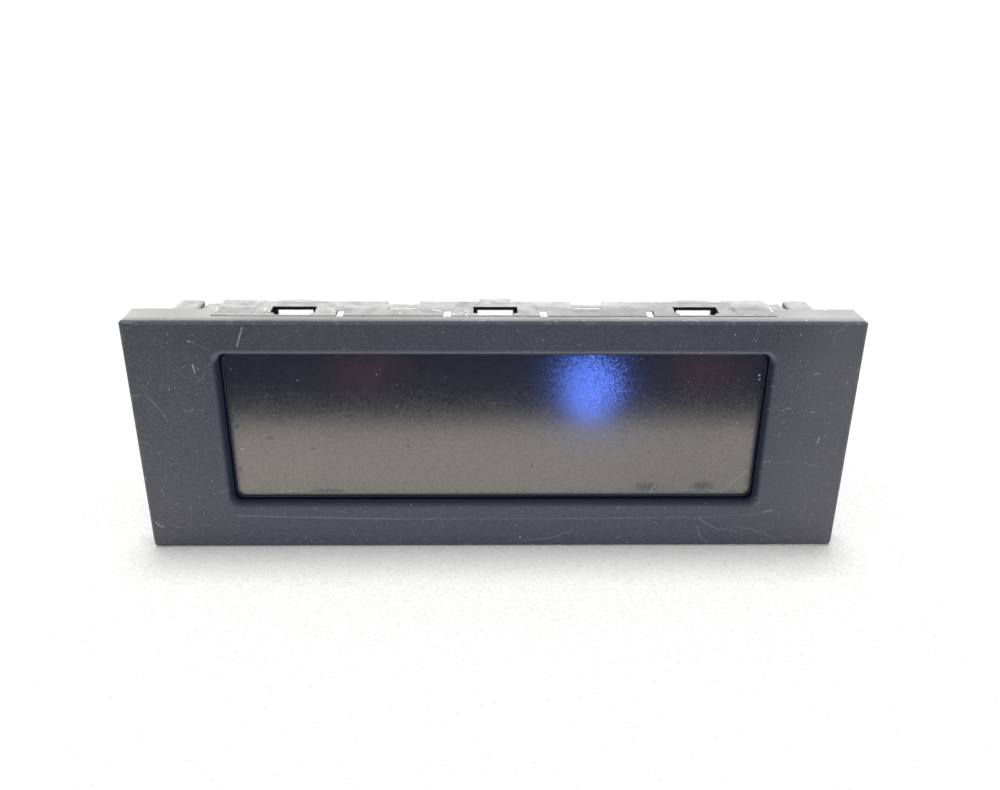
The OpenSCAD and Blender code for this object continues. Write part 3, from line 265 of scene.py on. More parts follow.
class Finish:
    """A finish under construction, with the unit's own millimetres as its coordinates."""

    def __init__(self, name, tree=None):
        if tree is None:
            self.material = bpy.data.materials.new(name)
            self.material.use_nodes = True
            tree = self.material.node_tree
        self.tree = tree
        self.tree.nodes.clear()

    def node(self, kind, settings=None, sockets=None, outlet=0):
        """Adds a node, sets it up, fills or links its inlets and gives one of its outlets."""
        made = self.tree.nodes.new(kind)
        for key, value in (settings or {}).items():
            setattr(made, key, value)
        for key, value in (sockets or {}).items():
            socket = made.inputs[key]
            if isinstance(value, Signal):
                self.tree.links.new(value.socket, socket)
            elif socket.type == "RGBA":
                socket.default_value = (*value, 1.0)[:4]
            else:
                socket.default_value = value
        return Signal(self, made.outputs[outlet])

    # Places

    def place(self):
        """The point on the unit or the table, in millimetres."""
        metres = self.node("ShaderNodeTexCoord", outlet="Object")
        return self.vector("SCALE", metres, {"Scale": 1.0 / MM})

    def vector(self, operation, first, sockets=None, outlet=0):
        sockets = {0: first, **(sockets or {})}
        return self.node("ShaderNodeVectorMath", {"operation": operation}, sockets, outlet)

    def axes(self, place):
        parts = self.node("ShaderNodeSeparateXYZ", sockets={0: place})
        node = parts.socket.node
        return [Signal(self, node.outputs[i]) for i in range(3)]

    def joined(self, x, y, z):
        return self.node("ShaderNodeCombineXYZ", sockets={0: x, 1: y, 2: z})

    def stretched(self, place, across, deep, up, turn=(0.0, 0.0, 0.0), shift=(0.0, 0.0, 0.0)):
        """The place turned, in degrees, and scaled along each axis."""
        angles = tuple(math.radians(a) for a in turn)
        turned = self.node("ShaderNodeMapping", sockets={
            "Vector": place, "Rotation": angles, "Location": shift})
        return self.vector("MULTIPLY", turned, {1: (across, deep, up)})

    # Patterns

    def noise(self, place, size, detail=2.0, rough=0.5, twist=0.0):
        """Soft noise whose features are about that many millimetres."""
        return self.node("ShaderNodeTexNoise", sockets={
            "Vector": place, "Scale": 1.0 / size, "Detail": detail, "Roughness": rough,
            "Distortion": twist})

    def cells(self, place, size, feature="F1", outlet="Distance", randomness=1.0):
        return self.node("ShaderNodeTexVoronoi", {"feature": feature}, {
            "Vector": place, "Scale": 1.0 / size, "Randomness": randomness}, outlet)

    def ramp(self, value, low, high, start=0.0, end=1.0):
        """Runs smoothly from start to end as the value goes from low to high."""
        return self.node("ShaderNodeMapRange", {"interpolation_type": "SMOOTHSTEP"}, {
            "Value": value, "From Min": low, "From Max": high, "To Min": start, "To Max": end})

    def specks(self, place, size, radius, share, plane=False):
        """Small round specks: one in each cell of that size, and only in a share of the cells."""
        settings = {"voronoi_dimensions": "2D"} if plane else {}
        sockets = {"Vector": place, "Scale": 1.0 / size}
        distance = self.node("ShaderNodeTexVoronoi", settings, sockets, "Distance")
        colour = self.node("ShaderNodeTexVoronoi", settings, sockets, "Color")
        chosen = self.node("ShaderNodeSeparateXYZ", sockets={0: colour})
        keep = self.ramp(chosen, 1.0 - share, 1.0 - share + 0.02)
        return self.ramp(distance, radius / size, 0.4 * radius / size) * keep

    def stroke(self, flat, points, width):
        """A mask along a run of points on the face."""
        mask = None
        for start, end in zip(points, points[1:]):
            a = Vector((start[0], 0.0, start[1]))
            along = Vector((end[0], 0.0, end[1])) - a
            offset = self.vector("SUBTRACT", flat, {1: a})
            share = self.vector("DOT_PRODUCT", offset, {1: along / along.length_squared}, "Value")
            held = share.at_least(0.0).at_most(1.0)
            near = self.vector("SCALE", self.joined(*along), {"Scale": held})
            gap = self.vector("LENGTH", self.vector("SUBTRACT", offset, {1: near}), outlet="Value")
            part = self.ramp(gap, 0.2 * width, 0.75 * width, 1.0, 0.0)
            mask = part if mask is None else mask.at_least(part)
        return mask

    def marks(self, flat, strokes, specks=()):
        """A mask of strokes, as points, width and strength, and of round specks."""
        mask = None
        for points, width, strength in strokes:
            part = self.stroke(flat, points, width) * strength
            mask = part if mask is None else mask.at_least(part)
        for across, up, radius in specks:
            mask = mask.at_least(self.spot(flat, across, up, radius))
        return mask

    def beyond(self, x, z, half, low, high, radius):
        """How far a place stands outside a rounded rectangle of the face, below nought inside it."""
        middle = (low + high) / 2
        across = abs(x) - (half - radius)
        up = abs(z - middle) - ((high - low) / 2 - radius)
        corner = self.joined(across.at_least(0.0), up.at_least(0.0), 0.0)
        outside = self.vector("LENGTH", corner, outlet="Value")
        return outside + across.at_least(up).at_most(0.0) - radius

    def spot(self, flat, across, up, radius, stretch=1.0):
        """A soft round mask on the face, stretched across by that much."""
        offset = self.vector("SUBTRACT", flat, {1: (across, 0.0, up)})
        if stretch != 1.0:
            offset = self.vector("MULTIPLY", offset, {1: (1.0 / stretch, 1.0, 1.0)})
        gap = self.vector("LENGTH", offset, outlet="Value")
        return self.ramp(gap, radius, 0.35 * radius)

    # Colour and surface

    def blend(self, share, under, over):
        """One colour over another."""
        return self.node("ShaderNodeMix", {"data_type": "RGBA"}, {0: share, 6: under, 7: over}, 2)

    def rounded(self, radius):
        """The normal with its edges rounded, and a mask of those edges."""
        soft = self.node("ShaderNodeBevel", {"samples": 4}, {"Radius": radius * MM})
        flat = self.node("ShaderNodeNewGeometry", outlet="True Normal")
        alike = self.vector("DOT_PRODUCT", soft, {1: flat}, "Value")
        return soft, self.ramp(alike, 0.995, 0.82)

    def relief(self, height, strength=1.0, normal=None):
        """The normal of a height in millimetres."""
        sockets = {"Height": height, "Strength": strength, "Distance": MM}
        if normal is not None:
            sockets["Normal"] = normal
        return self.node("ShaderNodeBump", sockets=sockets)

    def close(self, sockets):
        """Ends the finish with its surface shader."""
        shader = self.node("ShaderNodeBsdfPrincipled", sockets=sockets)
        self.end(shader)
        return self.material

    def end(self, shader, kind="ShaderNodeOutputMaterial"):
        made = self.tree.nodes.new(kind)
        self.tree.links.new(shader.socket, made.inputs["Surface"])


def wear(*names, finish):
    """Gives the named CAD nodes a finish."""
    for name in names:
        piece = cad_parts[name]
        piece.data.materials.clear()
        piece.data.materials.append(finish)


# Finishes of what shows


def bezel_finish(colours, wear_of):
    """Dark satin moulding with its scratches, dust and rubbed edges, painted shade inside its lip, a
    painted sheen along the top of the lip and painted bounce light lower down.
    """
    finish = Finish("bezel satin")
    place = finish.place()
    x, y, z = finish.axes(place)
    depth = y + HALF_DEPTH
    flat = finish.joined(x, 0.0, z)
    on_face = finish.ramp(depth, 0.9, 0.3)

    # Moulding colour: bluer in the middle, greyer towards the worn ends, and paler lower down, which is
    # painted bounce light from the table
    ends = finish.ramp(abs(x), 60.0, 95.0)
    clouds = finish.noise(place, 26.0, 3.0)
    # Painted light: the face turns paler towards the bottom as if lit from the table below
    low = finish.ramp(z, 62.0, 4.0)
    middle = finish.blend(low, scaled(colours.bezel, 0.9), scaled(colours.bezel, 1.3))
    halfway = tuple(0.56 * new + 0.37 * worn for new, worn in zip(colours.bezel, colours.bezel_worn))
    left = finish.blend(low, halfway, scaled(colours.bezel_worn, 0.98))
    across = finish.ramp(x, -TONE_REACH, TONE_REACH)
    outer = finish.blend(across, left, scaled(colours.bezel_worn, 1.16))
    tint = finish.blend(finish.ramp(ends + clouds, 0.5, 1.5), middle, outer)
    mottle = finish.noise(place, 0.4, 3.0, 0.7)
    mottled = finish.ramp(mottle, 0.4, 0.66) * finish.ramp(z, STRIP_FROM, STRIP_TO, 0.64, 0.36)
    base = finish.blend(mottled, tint, scaled(colours.bezel_worn, 1.5))

    # Fine rubbed lines in three directions
    rubbed = None
    for turn, seed in ((18.0, 3.0), (-52.0, 9.0), (81.0, 17.0)):
        drawn = finish.stretched(flat, 0.06, 1.0, 2.6, (0.0, turn, 0.0), (seed, seed, seed))
        lines = finish.noise(drawn, 1.0, 2.0)
        moved = finish.stretched(flat, 1.0, 1.0, 1.0, shift=(seed * 3.0, 0.0, seed))
        patch = finish.noise(moved, 9.0, 1.0)
        part = finish.ramp(lines, 0.64, 0.78) * finish.ramp(patch, 0.46, 0.62)
        rubbed = part if rubbed is None else rubbed.at_least(part)
    sheet = finish.joined(x + y, z + y, 0.0)
    fine_dust = finish.specks(sheet, 1.1, 0.13, 0.24, True) * 0.4
    dust = finish.specks(sheet, 3.2, 0.21, 0.2, True).at_least(fine_dust)

    # Marks that the unit has picked up; the top marks also hold painted highlights along the deck's ends
    ragged = finish.ramp(finish.noise(place, 0.5, 2.0), 0.36, 0.56, 0.35, 1.0)
    marks = finish.marks(flat, FACE_MARKS, FACE_SPECKS) * ragged * on_face
    on_top = finish.ramp(z, FACE_TOP - 1.0, FACE_TOP - 0.5)
    marks = marks.at_least(finish.marks(finish.joined(x, 0.0, depth), TOP_MARKS_AND_HIGHLIGHTS, TOP_SPECKS) * on_top)
    dusty = on_top * finish.ramp(depth, 1.0, 3.6, 0.25, 1.0)
    dusty = dusty * finish.ramp(x, -TONE_REACH, TONE_REACH, 0.95, 0.45)

    # Edges that hands and the dashboard have rubbed
    low_edge = finish.ramp(z, 1.6, 0.2)
    high_edge = finish.ramp(z, FACE_TOP - 1.2, FACE_TOP - 0.2)
    side_edge = finish.ramp(abs(x), FACE_HALF - 1.6, FACE_HALF - 0.2)
    edges = low_edge.at_least(high_edge).at_least(side_edge)
    front_edge = finish.ramp(depth, 1.5, 0.9)
    chipped = edges * front_edge * finish.ramp(finish.noise(place, 2.3, 5.0, 0.7), 0.54, 0.68)

    # Painted shade: the lip darkens towards the gasket, except along the top, where a painted sheen
    # lightens it instead
    gap = finish.beyond(x, z, WINDOW_HALF, WINDOW_LOW, WINDOW_HIGH, WINDOW_R)
    upper = finish.ramp(z, WINDOW_HIGH - 3.0, WINDOW_HIGH - 0.5)
    shade = finish.ramp(gap, 1.3, 0.25) * (1 - upper)
    sheen = finish.ramp(gap, 1.5, 0.9) * upper

    colour = finish.blend(rubbed * on_face * 0.3 * wear_of.scratches, base, colours.mark)
    colour = finish.blend(dust * 0.6 * wear_of.dust, colour, colours.mark)
    colour = finish.blend(chipped * 0.24 * wear_of.edges, colour, colours.mark)
    colour = finish.blend(dusty * wear_of.dust, colour, (0.15, 0.146, 0.137))
    # The painted shade is lighter on the lower lip, which faces up into the light
    depth_of_shade = finish.ramp(z, WINDOW_LOW, WINDOW_LOW + 3.0, 0.6, 0.9)
    colour = finish.blend(shade * depth_of_shade, colour, colours.lip_painted_shade)
    # Painted sheen along the top of the lip, in the colour of the marks
    colour = finish.blend(sheen * 0.12, colour, colours.mark)
    colour = finish.blend(marks * 0.85 * wear_of.scratches, colour, colours.mark)

    # Grain of the skin; the tops and the sides fall away a little towards the face
    grain = finish.noise(place, 0.36, 2.0, 0.6)
    crown = (4.4 - depth).at_least(0.0)
    grained = finish.ramp(z, STRIP_FROM, STRIP_TO, 0.026, 0.012)
    height = grain * grained + mottle * 0.01 - crown * crown * 0.026
    roughness = finish.ramp(clouds, 0.3, 0.7, 0.5, 0.58) - ends * 0.03 - chipped * 0.08 + shade * 0.3
    return finish.close({
        "Base Color": colour, "Roughness": roughness, "IOR": 1.43,
        "Normal": finish.relief(height, 0.8)})


def lens_finish(colours, screen):
    """Smoke-tinted, matted lens: a clean surface, and a duller one where film and dirt lie on it."""
    finish = Finish("smoked lens")
    place = finish.place()
    x, _, z = finish.axes(place)
    flat = finish.joined(x, 0.0, z)

    # Fine matting whose facets break reflections up, more so towards the top
    facets = finish.cells(flat, 0.36, outlet="Color")
    coarse = finish.ramp(z, COARSE_FROM, COARSE_TO)
    tilts = finish.vector("SUBTRACT", facets, {1: (0.5, 0.5, 0.5)})
    tilts = finish.vector("SCALE", tilts, {"Scale": 0.013 + coarse * 0.041})
    glitter = finish.axes(facets)[0] - 0.5
    facing = finish.node("ShaderNodeNewGeometry", outlet="Normal")
    matted = finish.vector("NORMALIZE", finish.vector("ADD", facing, {1: tilts}))
    clouds = finish.noise(flat, 12.0, 2.0, 0.5)
    mottle = finish.ramp(finish.noise(flat, 1.5, 5.0, 0.7), 0.42, 0.7)

    smudges = None
    for across, up, wide, high in LENS_SMUDGES:
        part = finish.spot(flat, across, up, high, wide / high)
        smudges = part if smudges is None else smudges.at_least(part)
    smudges = smudges * finish.ramp(finish.noise(flat, 0.7, 4.0, 0.7), 0.35, 0.65, 0.35, 1.0)
    streaks = finish.marks(flat, LENS_STREAKS)
    specks = finish.specks(finish.joined(x, z, 0.0), 4.3, 0.17, 0.12, True) * 0.8
    for across, up, radius in LENS_SPECKS:
        specks = specks.at_least(finish.spot(flat, across, up, radius))

    # Dirt and film that dull the reflection, mostly along the frame
    gap = -1 * finish.beyond(x, z, VIEW_HALF, VIEW_LOW, VIEW_HIGH, VIEW_R)
    rim = finish.ramp(gap, 3.0, 0.4) * finish.ramp(finish.noise(flat, 1.1, 4.0, 0.7), 0.46, 0.66)
    corner = finish.ramp(x, 5.0, 62.0) * finish.ramp(z, 42.0, 20.0)
    border = finish.ramp(gap, 1.2, 0.3) * finish.ramp(z, VIEW_HIGH - 2.0, VIEW_HIGH - 5.0)
    soiled = (border * 0.8).at_least(smudges * 0.65).at_least(rim * 0.5)
    dull = soiled + corner * 0.2 + mottle * 0.12 + glitter * (0.26 + coarse * 0.6) + 0.2

    colour = finish.blend(glitter + 0.5, scaled(colours.lens, 0.9), scaled(colours.lens, 1.3))
    colour = finish.blend(streaks * 0.28, colour, colours.mark)
    colour = finish.blend(specks * 0.65, colour, colours.mark)
    roughness = finish.ramp(clouds, 0.25, 0.75, screen.matting - 0.01, screen.matting + 0.01)
    roughness = roughness - coarse * 0.015
    normal = finish.relief(specks * 0.02 + streaks * 0.006, 1.0, matted)
    clean = finish.node("ShaderNodeBsdfPrincipled", sockets={
        "Base Color": colour, "Roughness": roughness, "IOR": screen.gloss,
        "Specular Tint": (1.0, 0.936, 0.845), "Normal": normal})
    film = finish.node("ShaderNodeBsdfPrincipled", sockets={
        "Base Color": colour, "Roughness": roughness + 0.06, "IOR": 1.95,
        "Specular Tint": (0.97, 0.985, 1.0), "Normal": normal})
    share = dull.at_least(0.0).at_most(1.0)
    finish.end(finish.node("ShaderNodeMixShader", sockets={0: share, 1: clean, 2: film}))
    return finish.material


def gasket_finish(colours):
    """Black foam with open pores."""
    finish = Finish("closed cell foam")
    place = finish.place()
    x, _, z = finish.axes(place)
    pores = finish.cells(place, 0.35)
    mottle = finish.noise(place, 1.2, 3.0)
    colour = finish.blend(finish.ramp(mottle, 0.4, 0.65), colours.gasket, scaled(colours.gasket, 2.0))

    # Outside, the foam takes a lighter copy of the lip's painted shade; inside it has a pale cut edge
    gap = finish.beyond(x, z, WINDOW_HALF, WINDOW_LOW, WINDOW_HIGH, WINDOW_R)
    colour = finish.blend(finish.ramp(gap, -0.42, -0.22), colour, scaled(colours.lip_painted_shade, 1.7))
    gap = finish.beyond(x, z, VIEW_HALF, VIEW_LOW, VIEW_HIGH, VIEW_R)
    colour = finish.blend(finish.ramp(gap, 0.24, 0.1) * 0.7, colour, scaled(colours.bezel, 1.2))
    return finish.close({
        "Base Color": colour, "Roughness": finish.ramp(mottle, 0.3, 0.7, 0.8, 0.95),
        "Specular IOR Level": 0.12, "Normal": finish.relief(pores * 0.08, 0.8)})


def moulding_finish(name, colour_of, pale, texture, roughness, dust,
                    edge=0.14, edge_wear_and_highlight=0.16, gloss=1.52, marked_and_highlit=False):
    """A grained black moulding: its spark-eroded skin, flow marks, pale edges and dust.

    The texture and the edge are in millimetres, and the paling of the edges says how far they turn pale:
    rubbed wear, and where it is strong, as on the housing, a painted highlight along them.
    """
    finish = Finish(name)
    place = finish.place()
    soft, edges = finish.rounded(edge)
    skin = finish.noise(place, texture, 3.0, 0.6)
    pits = finish.cells(place, texture * 1.6)
    flow = finish.noise(finish.stretched(place, 0.25, 1.0, 1.0, (0.0, 0.0, 8.0)), 12.0, 4.0, 0.6)
    colour = finish.blend(finish.ramp(flow, 0.35, 0.7) * 0.4, colour_of, scaled(colour_of, 1.5))
    upward = finish.axes(finish.node("ShaderNodeNewGeometry", outlet="Normal"))[2]
    settled = finish.ramp(finish.noise(place, 3.4, 5.0, 0.65), 0.42, 0.7) * finish.ramp(upward, 0.2, 0.9)
    colour = finish.blend(settled * 0.09 * dust, colour, pale)
    specks = finish.specks(place, 2.3, 0.2, 0.22).at_least(finish.specks(place, 1.1, 0.12, 0.1))
    patchy = finish.ramp(finish.noise(place, 15.0, 2.0), 0.42, 0.62)
    colour = finish.blend(specks * patchy * 0.6 * dust, colour, pale)
    # Pale edges: rubbed wear, and a painted highlight where the paling is strong
    rubbed = edges * finish.ramp(finish.noise(place, 1.7, 4.0, 0.6), 0.4, 0.65)
    colour = finish.blend(rubbed * edge_wear_and_highlight, colour, pale)
    # Marks on the tops, and painted highlights along the deck's ends
    if marked_and_highlit:
        x, y, z = finish.axes(place)
        marks = finish.marks(finish.joined(x, 0.0, y + HALF_DEPTH), TOP_MARKS_AND_HIGHLIGHTS, TOP_SPECKS)
        marks = marks * finish.ramp(z, FACE_TOP - 0.8, FACE_TOP - 0.3)
        colour = finish.blend(marks, colour, scaled(pale, 1.35))
    rough = finish.ramp(flow, 0.3, 0.7, roughness - 0.04, roughness + 0.05)
    rough = rough - rubbed * 0.1 + settled * 0.08 * dust
    height = skin * 0.03 - finish.ramp(pits, 0.0, 0.5, 0.018, 0.0) + specks * 0.02 * dust
    return finish.close({
        "Base Color": colour, "Roughness": rough, "IOR": gloss,
        "Normal": finish.relief(height, 0.55, soft)})


def metal_finish(name, colour_of, roughness, brushed, stain, edge=0.08):
    """Plated metal with the fine lines of its rolling or drawing, and a little tarnish."""
    finish = Finish(name)
    place = finish.place()
    soft, edges = finish.rounded(edge)
    lines = finish.noise(finish.stretched(place, *brushed), 0.4, 3.0, 0.6)
    bloom = finish.noise(place, 2.4, 4.0, 0.6)
    tarnish = finish.ramp(bloom, 0.46, 0.72)
    colour = finish.blend(tarnish * 0.5, colour_of, stain)
    colour = finish.blend(edges * 0.25, colour, scaled(colour_of, 1.5))
    rough = finish.ramp(lines, 0.3, 0.7, roughness - 0.07, roughness + 0.07) + tarnish * 0.14
    return finish.close({
        "Base Color": colour, "Roughness": rough, "Metallic": 1.0,
        "Normal": finish.relief(lines * 0.006, 0.6, soft)})


def film_finish(name, colour_of, second, roughness, size):
    """A smooth sheet or small moulding with faint cloudiness and a little dust."""
    finish = Finish(name)
    place = finish.place()
    clouds = finish.noise(place, size, 4.0, 0.6)
    dust = finish.specks(place, 1.9, 0.12, 0.12)
    colour = finish.blend(finish.ramp(clouds, 0.35, 0.68), colour_of, second)
    colour = finish.blend(dust * 0.3, colour, (0.5, 0.5, 0.48))
    fine = finish.noise(place, 0.25, 2.0)
    rough = finish.ramp(clouds, 0.3, 0.7, roughness - 0.05, roughness + 0.05)
    return finish.close({
        "Base Color": colour, "Roughness": rough,
        "Normal": finish.relief(fine * 0.006 + dust * 0.01, 0.6)})


def guide_finish():
    """The clear guide with the dots that draw the light out of its back."""
    finish = Finish("dotted acrylic")
    place = finish.place()
    x, _, z = finish.axes(place)
    dots = finish.cells(finish.joined(x, 0.0, z), 1.1, randomness=0.0)
    size = finish.ramp(x, -VIEW_HALF, VIEW_HALF, 0.16, 0.4)
    printed = finish.ramp(dots - size, 0.04, -0.04)
    colour = finish.blend(printed * 0.7, (0.78, 0.82, 0.83), (0.96, 0.97, 0.97))
    return finish.close({
        "Base Color": colour, "Roughness": finish.ramp(printed, 0.0, 1.0, 0.12, 0.5), "IOR": 1.49,
        "Normal": finish.relief(printed * 0.02)})


def board_finish(colour_of):
    """Solder resist over copper: traces, plated dots and the weave of the laminate."""
    finish = Finish("board resist")
    place = finish.place()
    x, _, z = finish.axes(place)
    flat = finish.joined(x, 0.0, z)
    blocks = finish.cells(finish.stretched(flat, 0.4, 1.0, 1.0), 3.6, randomness=0.75)
    lanes = finish.node("ShaderNodeMath", {"operation": "PINGPONG"}, {0: blocks * 9.0, 1: 1.0})
    traces = finish.ramp(lanes, 0.5, 0.62)
    hole_pitch = 2.4
    gap = finish.cells(flat, hole_pitch, randomness=0.6) * hole_pitch
    ring = finish.ramp(abs(gap - 0.34), 0.14, 0.08)
    pit = finish.ramp(gap, 0.24, 0.18)
    weave = finish.node("ShaderNodeTexWave", {"bands_direction": "DIAGONAL"}, {
        "Vector": flat, "Scale": 2.2, "Distortion": 1.2, "Detail": 2.0}, "Fac")
    clouds = finish.noise(place, 8.0, 3.0)
    colour = finish.blend(traces * 0.65, scaled(colour_of, 0.72), scaled(colour_of, 1.5))
    colour = finish.blend(weave * 0.12, colour, scaled(colour_of, 1.9))
    colour = finish.blend(ring, colour, (0.52, 0.5, 0.45))
    colour = finish.blend(pit, colour, (0.01, 0.012, 0.01))
    rough = finish.ramp(clouds, 0.3, 0.7, 0.24, 0.36) + ring * 0.08
    return finish.close({
        "Base Color": colour, "Roughness": rough, "IOR": 1.5, "Metallic": ring * 0.8,
        "Normal": finish.relief(traces * 0.03 + ring * 0.02 - pit * 0.1, 0.8)})


def table_finish(studio):
    """White grained table cloth that shows as white wherever the unit casts no shadow."""
    finish = Finish("table")
    place = finish.place()
    pebbles = finish.noise(place, 1.0, 2.0, 0.55, 1.0)
    creases = finish.ramp(finish.cells(place, 1.7, "DISTANCE_TO_EDGE"), 0.0, 0.14)
    waves = finish.noise(place, 14.0, 3.0)
    height = pebbles * 0.6 + creases * 0.06 + waves * 0.25
    tone = finish.ramp(pebbles, 0.36, 0.62) * 0.7 + creases * 0.3
    mottle = finish.blend(tone, scaled(studio.table, 0.97), scaled(studio.table, 1.12))
    diffuse = finish.node("ShaderNodeBsdfDiffuse", sockets={
        "Color": mottle, "Roughness": 0.4, "Normal": finish.relief(height, 1.0)})
    rays = finish.node("ShaderNodeLightPath", outlet="Is Camera Ray")
    mirrored = Signal(finish, rays.socket.node.outputs["Is Glossy Ray"])
    seen = rays.at_least(mirrored)
    glow = finish.node("ShaderNodeEmission", sockets={
        "Color": (1.0, 1.0, 0.99), "Strength": seen * studio.table_lift})
    finish.end(finish.node("ShaderNodeAddShader", sockets={0: diffuse, 1: glow}))
    return finish.material


# Studio


def sheet_of(name, size, centre, turn, divisions=1):
    """A flat stage sheet, divided so many times each way."""
    wide, high = size
    corners = []
    faces = []
    for j in range(divisions + 1):
        for i in range(divisions + 1):
            corners.append(((i / divisions - 0.5) * wide, (j / divisions - 0.5) * high, 0.0))
    for j in range(divisions):
        for i in range(divisions):
            first = j * (divisions + 1) + i
            faces.append((first, first + 1, first + divisions + 2, first + divisions + 1))
    mesh = bpy.data.meshes.new(name)
    mesh.from_pydata(corners, [], faces)
    sheet = bpy.data.objects.new(name, mesh)
    sheet.matrix_world = Matrix.Translation(centre) @ turn
    bpy.context.scene.collection.objects.link(sheet)
    return sheet


def lamp(name, shape, size, radiance, colour, place, aim, mirrored_only=False):
    """An area lamp of a given radiance that shines from a place towards a point."""
    light = bpy.data.lights.new(name, "AREA")
    light.shape = shape
    light.size, light.size_y = size
    area = size[0] * size[1]
    if shape == "ELLIPSE":
        area *= math.pi / 4.0
    light.energy = radiance * math.pi * area
    light.color = colour
    made = bpy.data.objects.new(name, light)
    made.location = place
    made.rotation_euler = (Vector(aim) - Vector(place)).to_track_quat("-Z", "Y").to_euler()
    bpy.context.scene.collection.objects.link(made)
    made.visible_camera = False
    made.visible_diffuse = not mirrored_only


def broad_light(name, strength, angle, behind):
    """Light from a wide disc of the sky, a few degrees behind the zenith."""
    light = bpy.data.lights.new(name, "SUN")
    light.energy = strength
    light.angle = math.radians(angle)
    made = bpy.data.objects.new(name, light)
    made.rotation_euler = (-math.radians(behind), 0.0, 0.0)
    bpy.context.scene.collection.objects.link(made)
    made.visible_glossy = False


def build_world(studio):
    """Soft light from all round, which the camera and the gloss see as white."""
    world = bpy.data.worlds.new("white studio")
    bpy.context.scene.world = world
    world.use_nodes = True
    sky = Finish("white studio", world.node_tree)
    rays = sky.node("ShaderNodeLightPath", outlet="Is Camera Ray")
    outlets = rays.socket.node.outputs
    seen = rays.at_least(Signal(sky, outlets["Is Glossy Ray"]))
    seen = seen.at_least(Signal(sky, outlets["Is Transmission Ray"]))
    strength = sky.ramp(seen, 0.0, 1.0, studio.ambient, 1.0)
    sky.end(sky.node("ShaderNodeBackground", sockets={"Color": (1.0, 1.0, 1.0), "Strength": strength}),
        "ShaderNodeOutputWorld")


def build_camera():
    """The camera at the place from which the unit is judged."""
    lens = bpy.data.cameras.new("camera")
    lens.lens = CAMERA_FOCAL
    lens.sensor_width = CAMERA_SENSOR
    lens.clip_start = 0.01
    lens.clip_end = 30.0
    camera = bpy.data.objects.new("camera", lens)
    turn = (Matrix.Rotation(math.radians(CAMERA_TURN), 4, "Z")
            @ Matrix.Rotation(math.radians(90.0 - CAMERA_TIP), 4, "X")
            @ Matrix.Rotation(math.radians(CAMERA_ROLL), 4, "Z"))
    camera.matrix_world = Matrix.Translation(CAMERA_PLACE) @ turn
    bpy.context.scene.collection.objects.link(camera)
    bpy.context.scene.camera = camera


# What a user would change


class FinishColours(bpy.types.PropertyGroup):
    """Colours of the unit's finishes."""

    bezel: FloatVectorProperty(name="Bezel", description="Satin of the bezel", subtype="COLOR",
        size=3, min=0.0, max=1.0, default=(0.064, 0.071, 0.097))
    bezel_worn: FloatVectorProperty(name="Worn bezel", description="Satin of the bezel towards its ends",
        subtype="COLOR", size=3, min=0.0, max=1.0, default=(0.094, 0.096, 0.113))
    # Also the colour of the painted sheen on the bezel's lip and of the painted highlights among the top
    # marks
    mark: FloatVectorProperty(name="Marks", description="Scratches and dust", subtype="COLOR",
        size=3, min=0.0, max=1.0, default=(0.52, 0.53, 0.55))
    lens: FloatVectorProperty(name="Lens", description="Tint of the lens", subtype="COLOR",
        size=3, min=0.0, max=1.0, default=(0.009, 0.0095, 0.013))
    gasket: FloatVectorProperty(name="Gasket", description="Foam round the lens", subtype="COLOR",
        size=3, min=0.0, max=1.0, default=(0.0015, 0.0032, 0.0085))
    # Colour of the painted shade on the bezel's lip
    lip_painted_shade: FloatVectorProperty(name="Lip's shade", description="Bezel's lip where it runs into the gasket",
        subtype="COLOR", size=3, min=0.0, max=1.0, default=(0.017, 0.027, 0.051))
    housing: FloatVectorProperty(name="Housing", description="Housing and its clip rim", subtype="COLOR",
        size=3, min=0.0, max=1.0, default=(0.024, 0.025, 0.026))
    cover: FloatVectorProperty(name="Rear cover", description="Rear cover", subtype="COLOR",
        size=3, min=0.0, max=1.0, default=(0.020, 0.020, 0.021))
    # Also the colour of the painted highlights on the housing's edges and deck ends
    dust: FloatVectorProperty(name="Dust", description="Dust on the mouldings", subtype="COLOR",
        size=3, min=0.0, max=1.0, default=(0.45, 0.44, 0.41))
    board: FloatVectorProperty(name="Board", description="Solder resist", subtype="COLOR",
        size=3, min=0.0, max=1.0, default=(0.022, 0.115, 0.055))


class WearAmounts(bpy.types.PropertyGroup):
    """How much use the unit shows."""

    scratches: FloatProperty(name="Scratches", description="Strength of the scratches", subtype="FACTOR",
        min=0.0, max=1.0, default=1.0)
    dust: FloatProperty(name="Dust", description="Strength of the dust", subtype="FACTOR",
        min=0.0, max=1.0, default=1.0)
    edges: FloatProperty(name="Edges", description="Wear along the edges", subtype="FACTOR",
        min=0.0, max=1.0, default=1.0)


class ScreenSettings(bpy.types.PropertyGroup):
    """How the lens reflects."""

    matting: FloatProperty(name="Matting", description="Roughness of the lens",
        min=0.1, max=0.6, default=0.19)
    gloss: FloatProperty(name="Gloss", description="Refractive index that stands for the lens and its back",
        min=1.3, max=3.2, default=2.97)


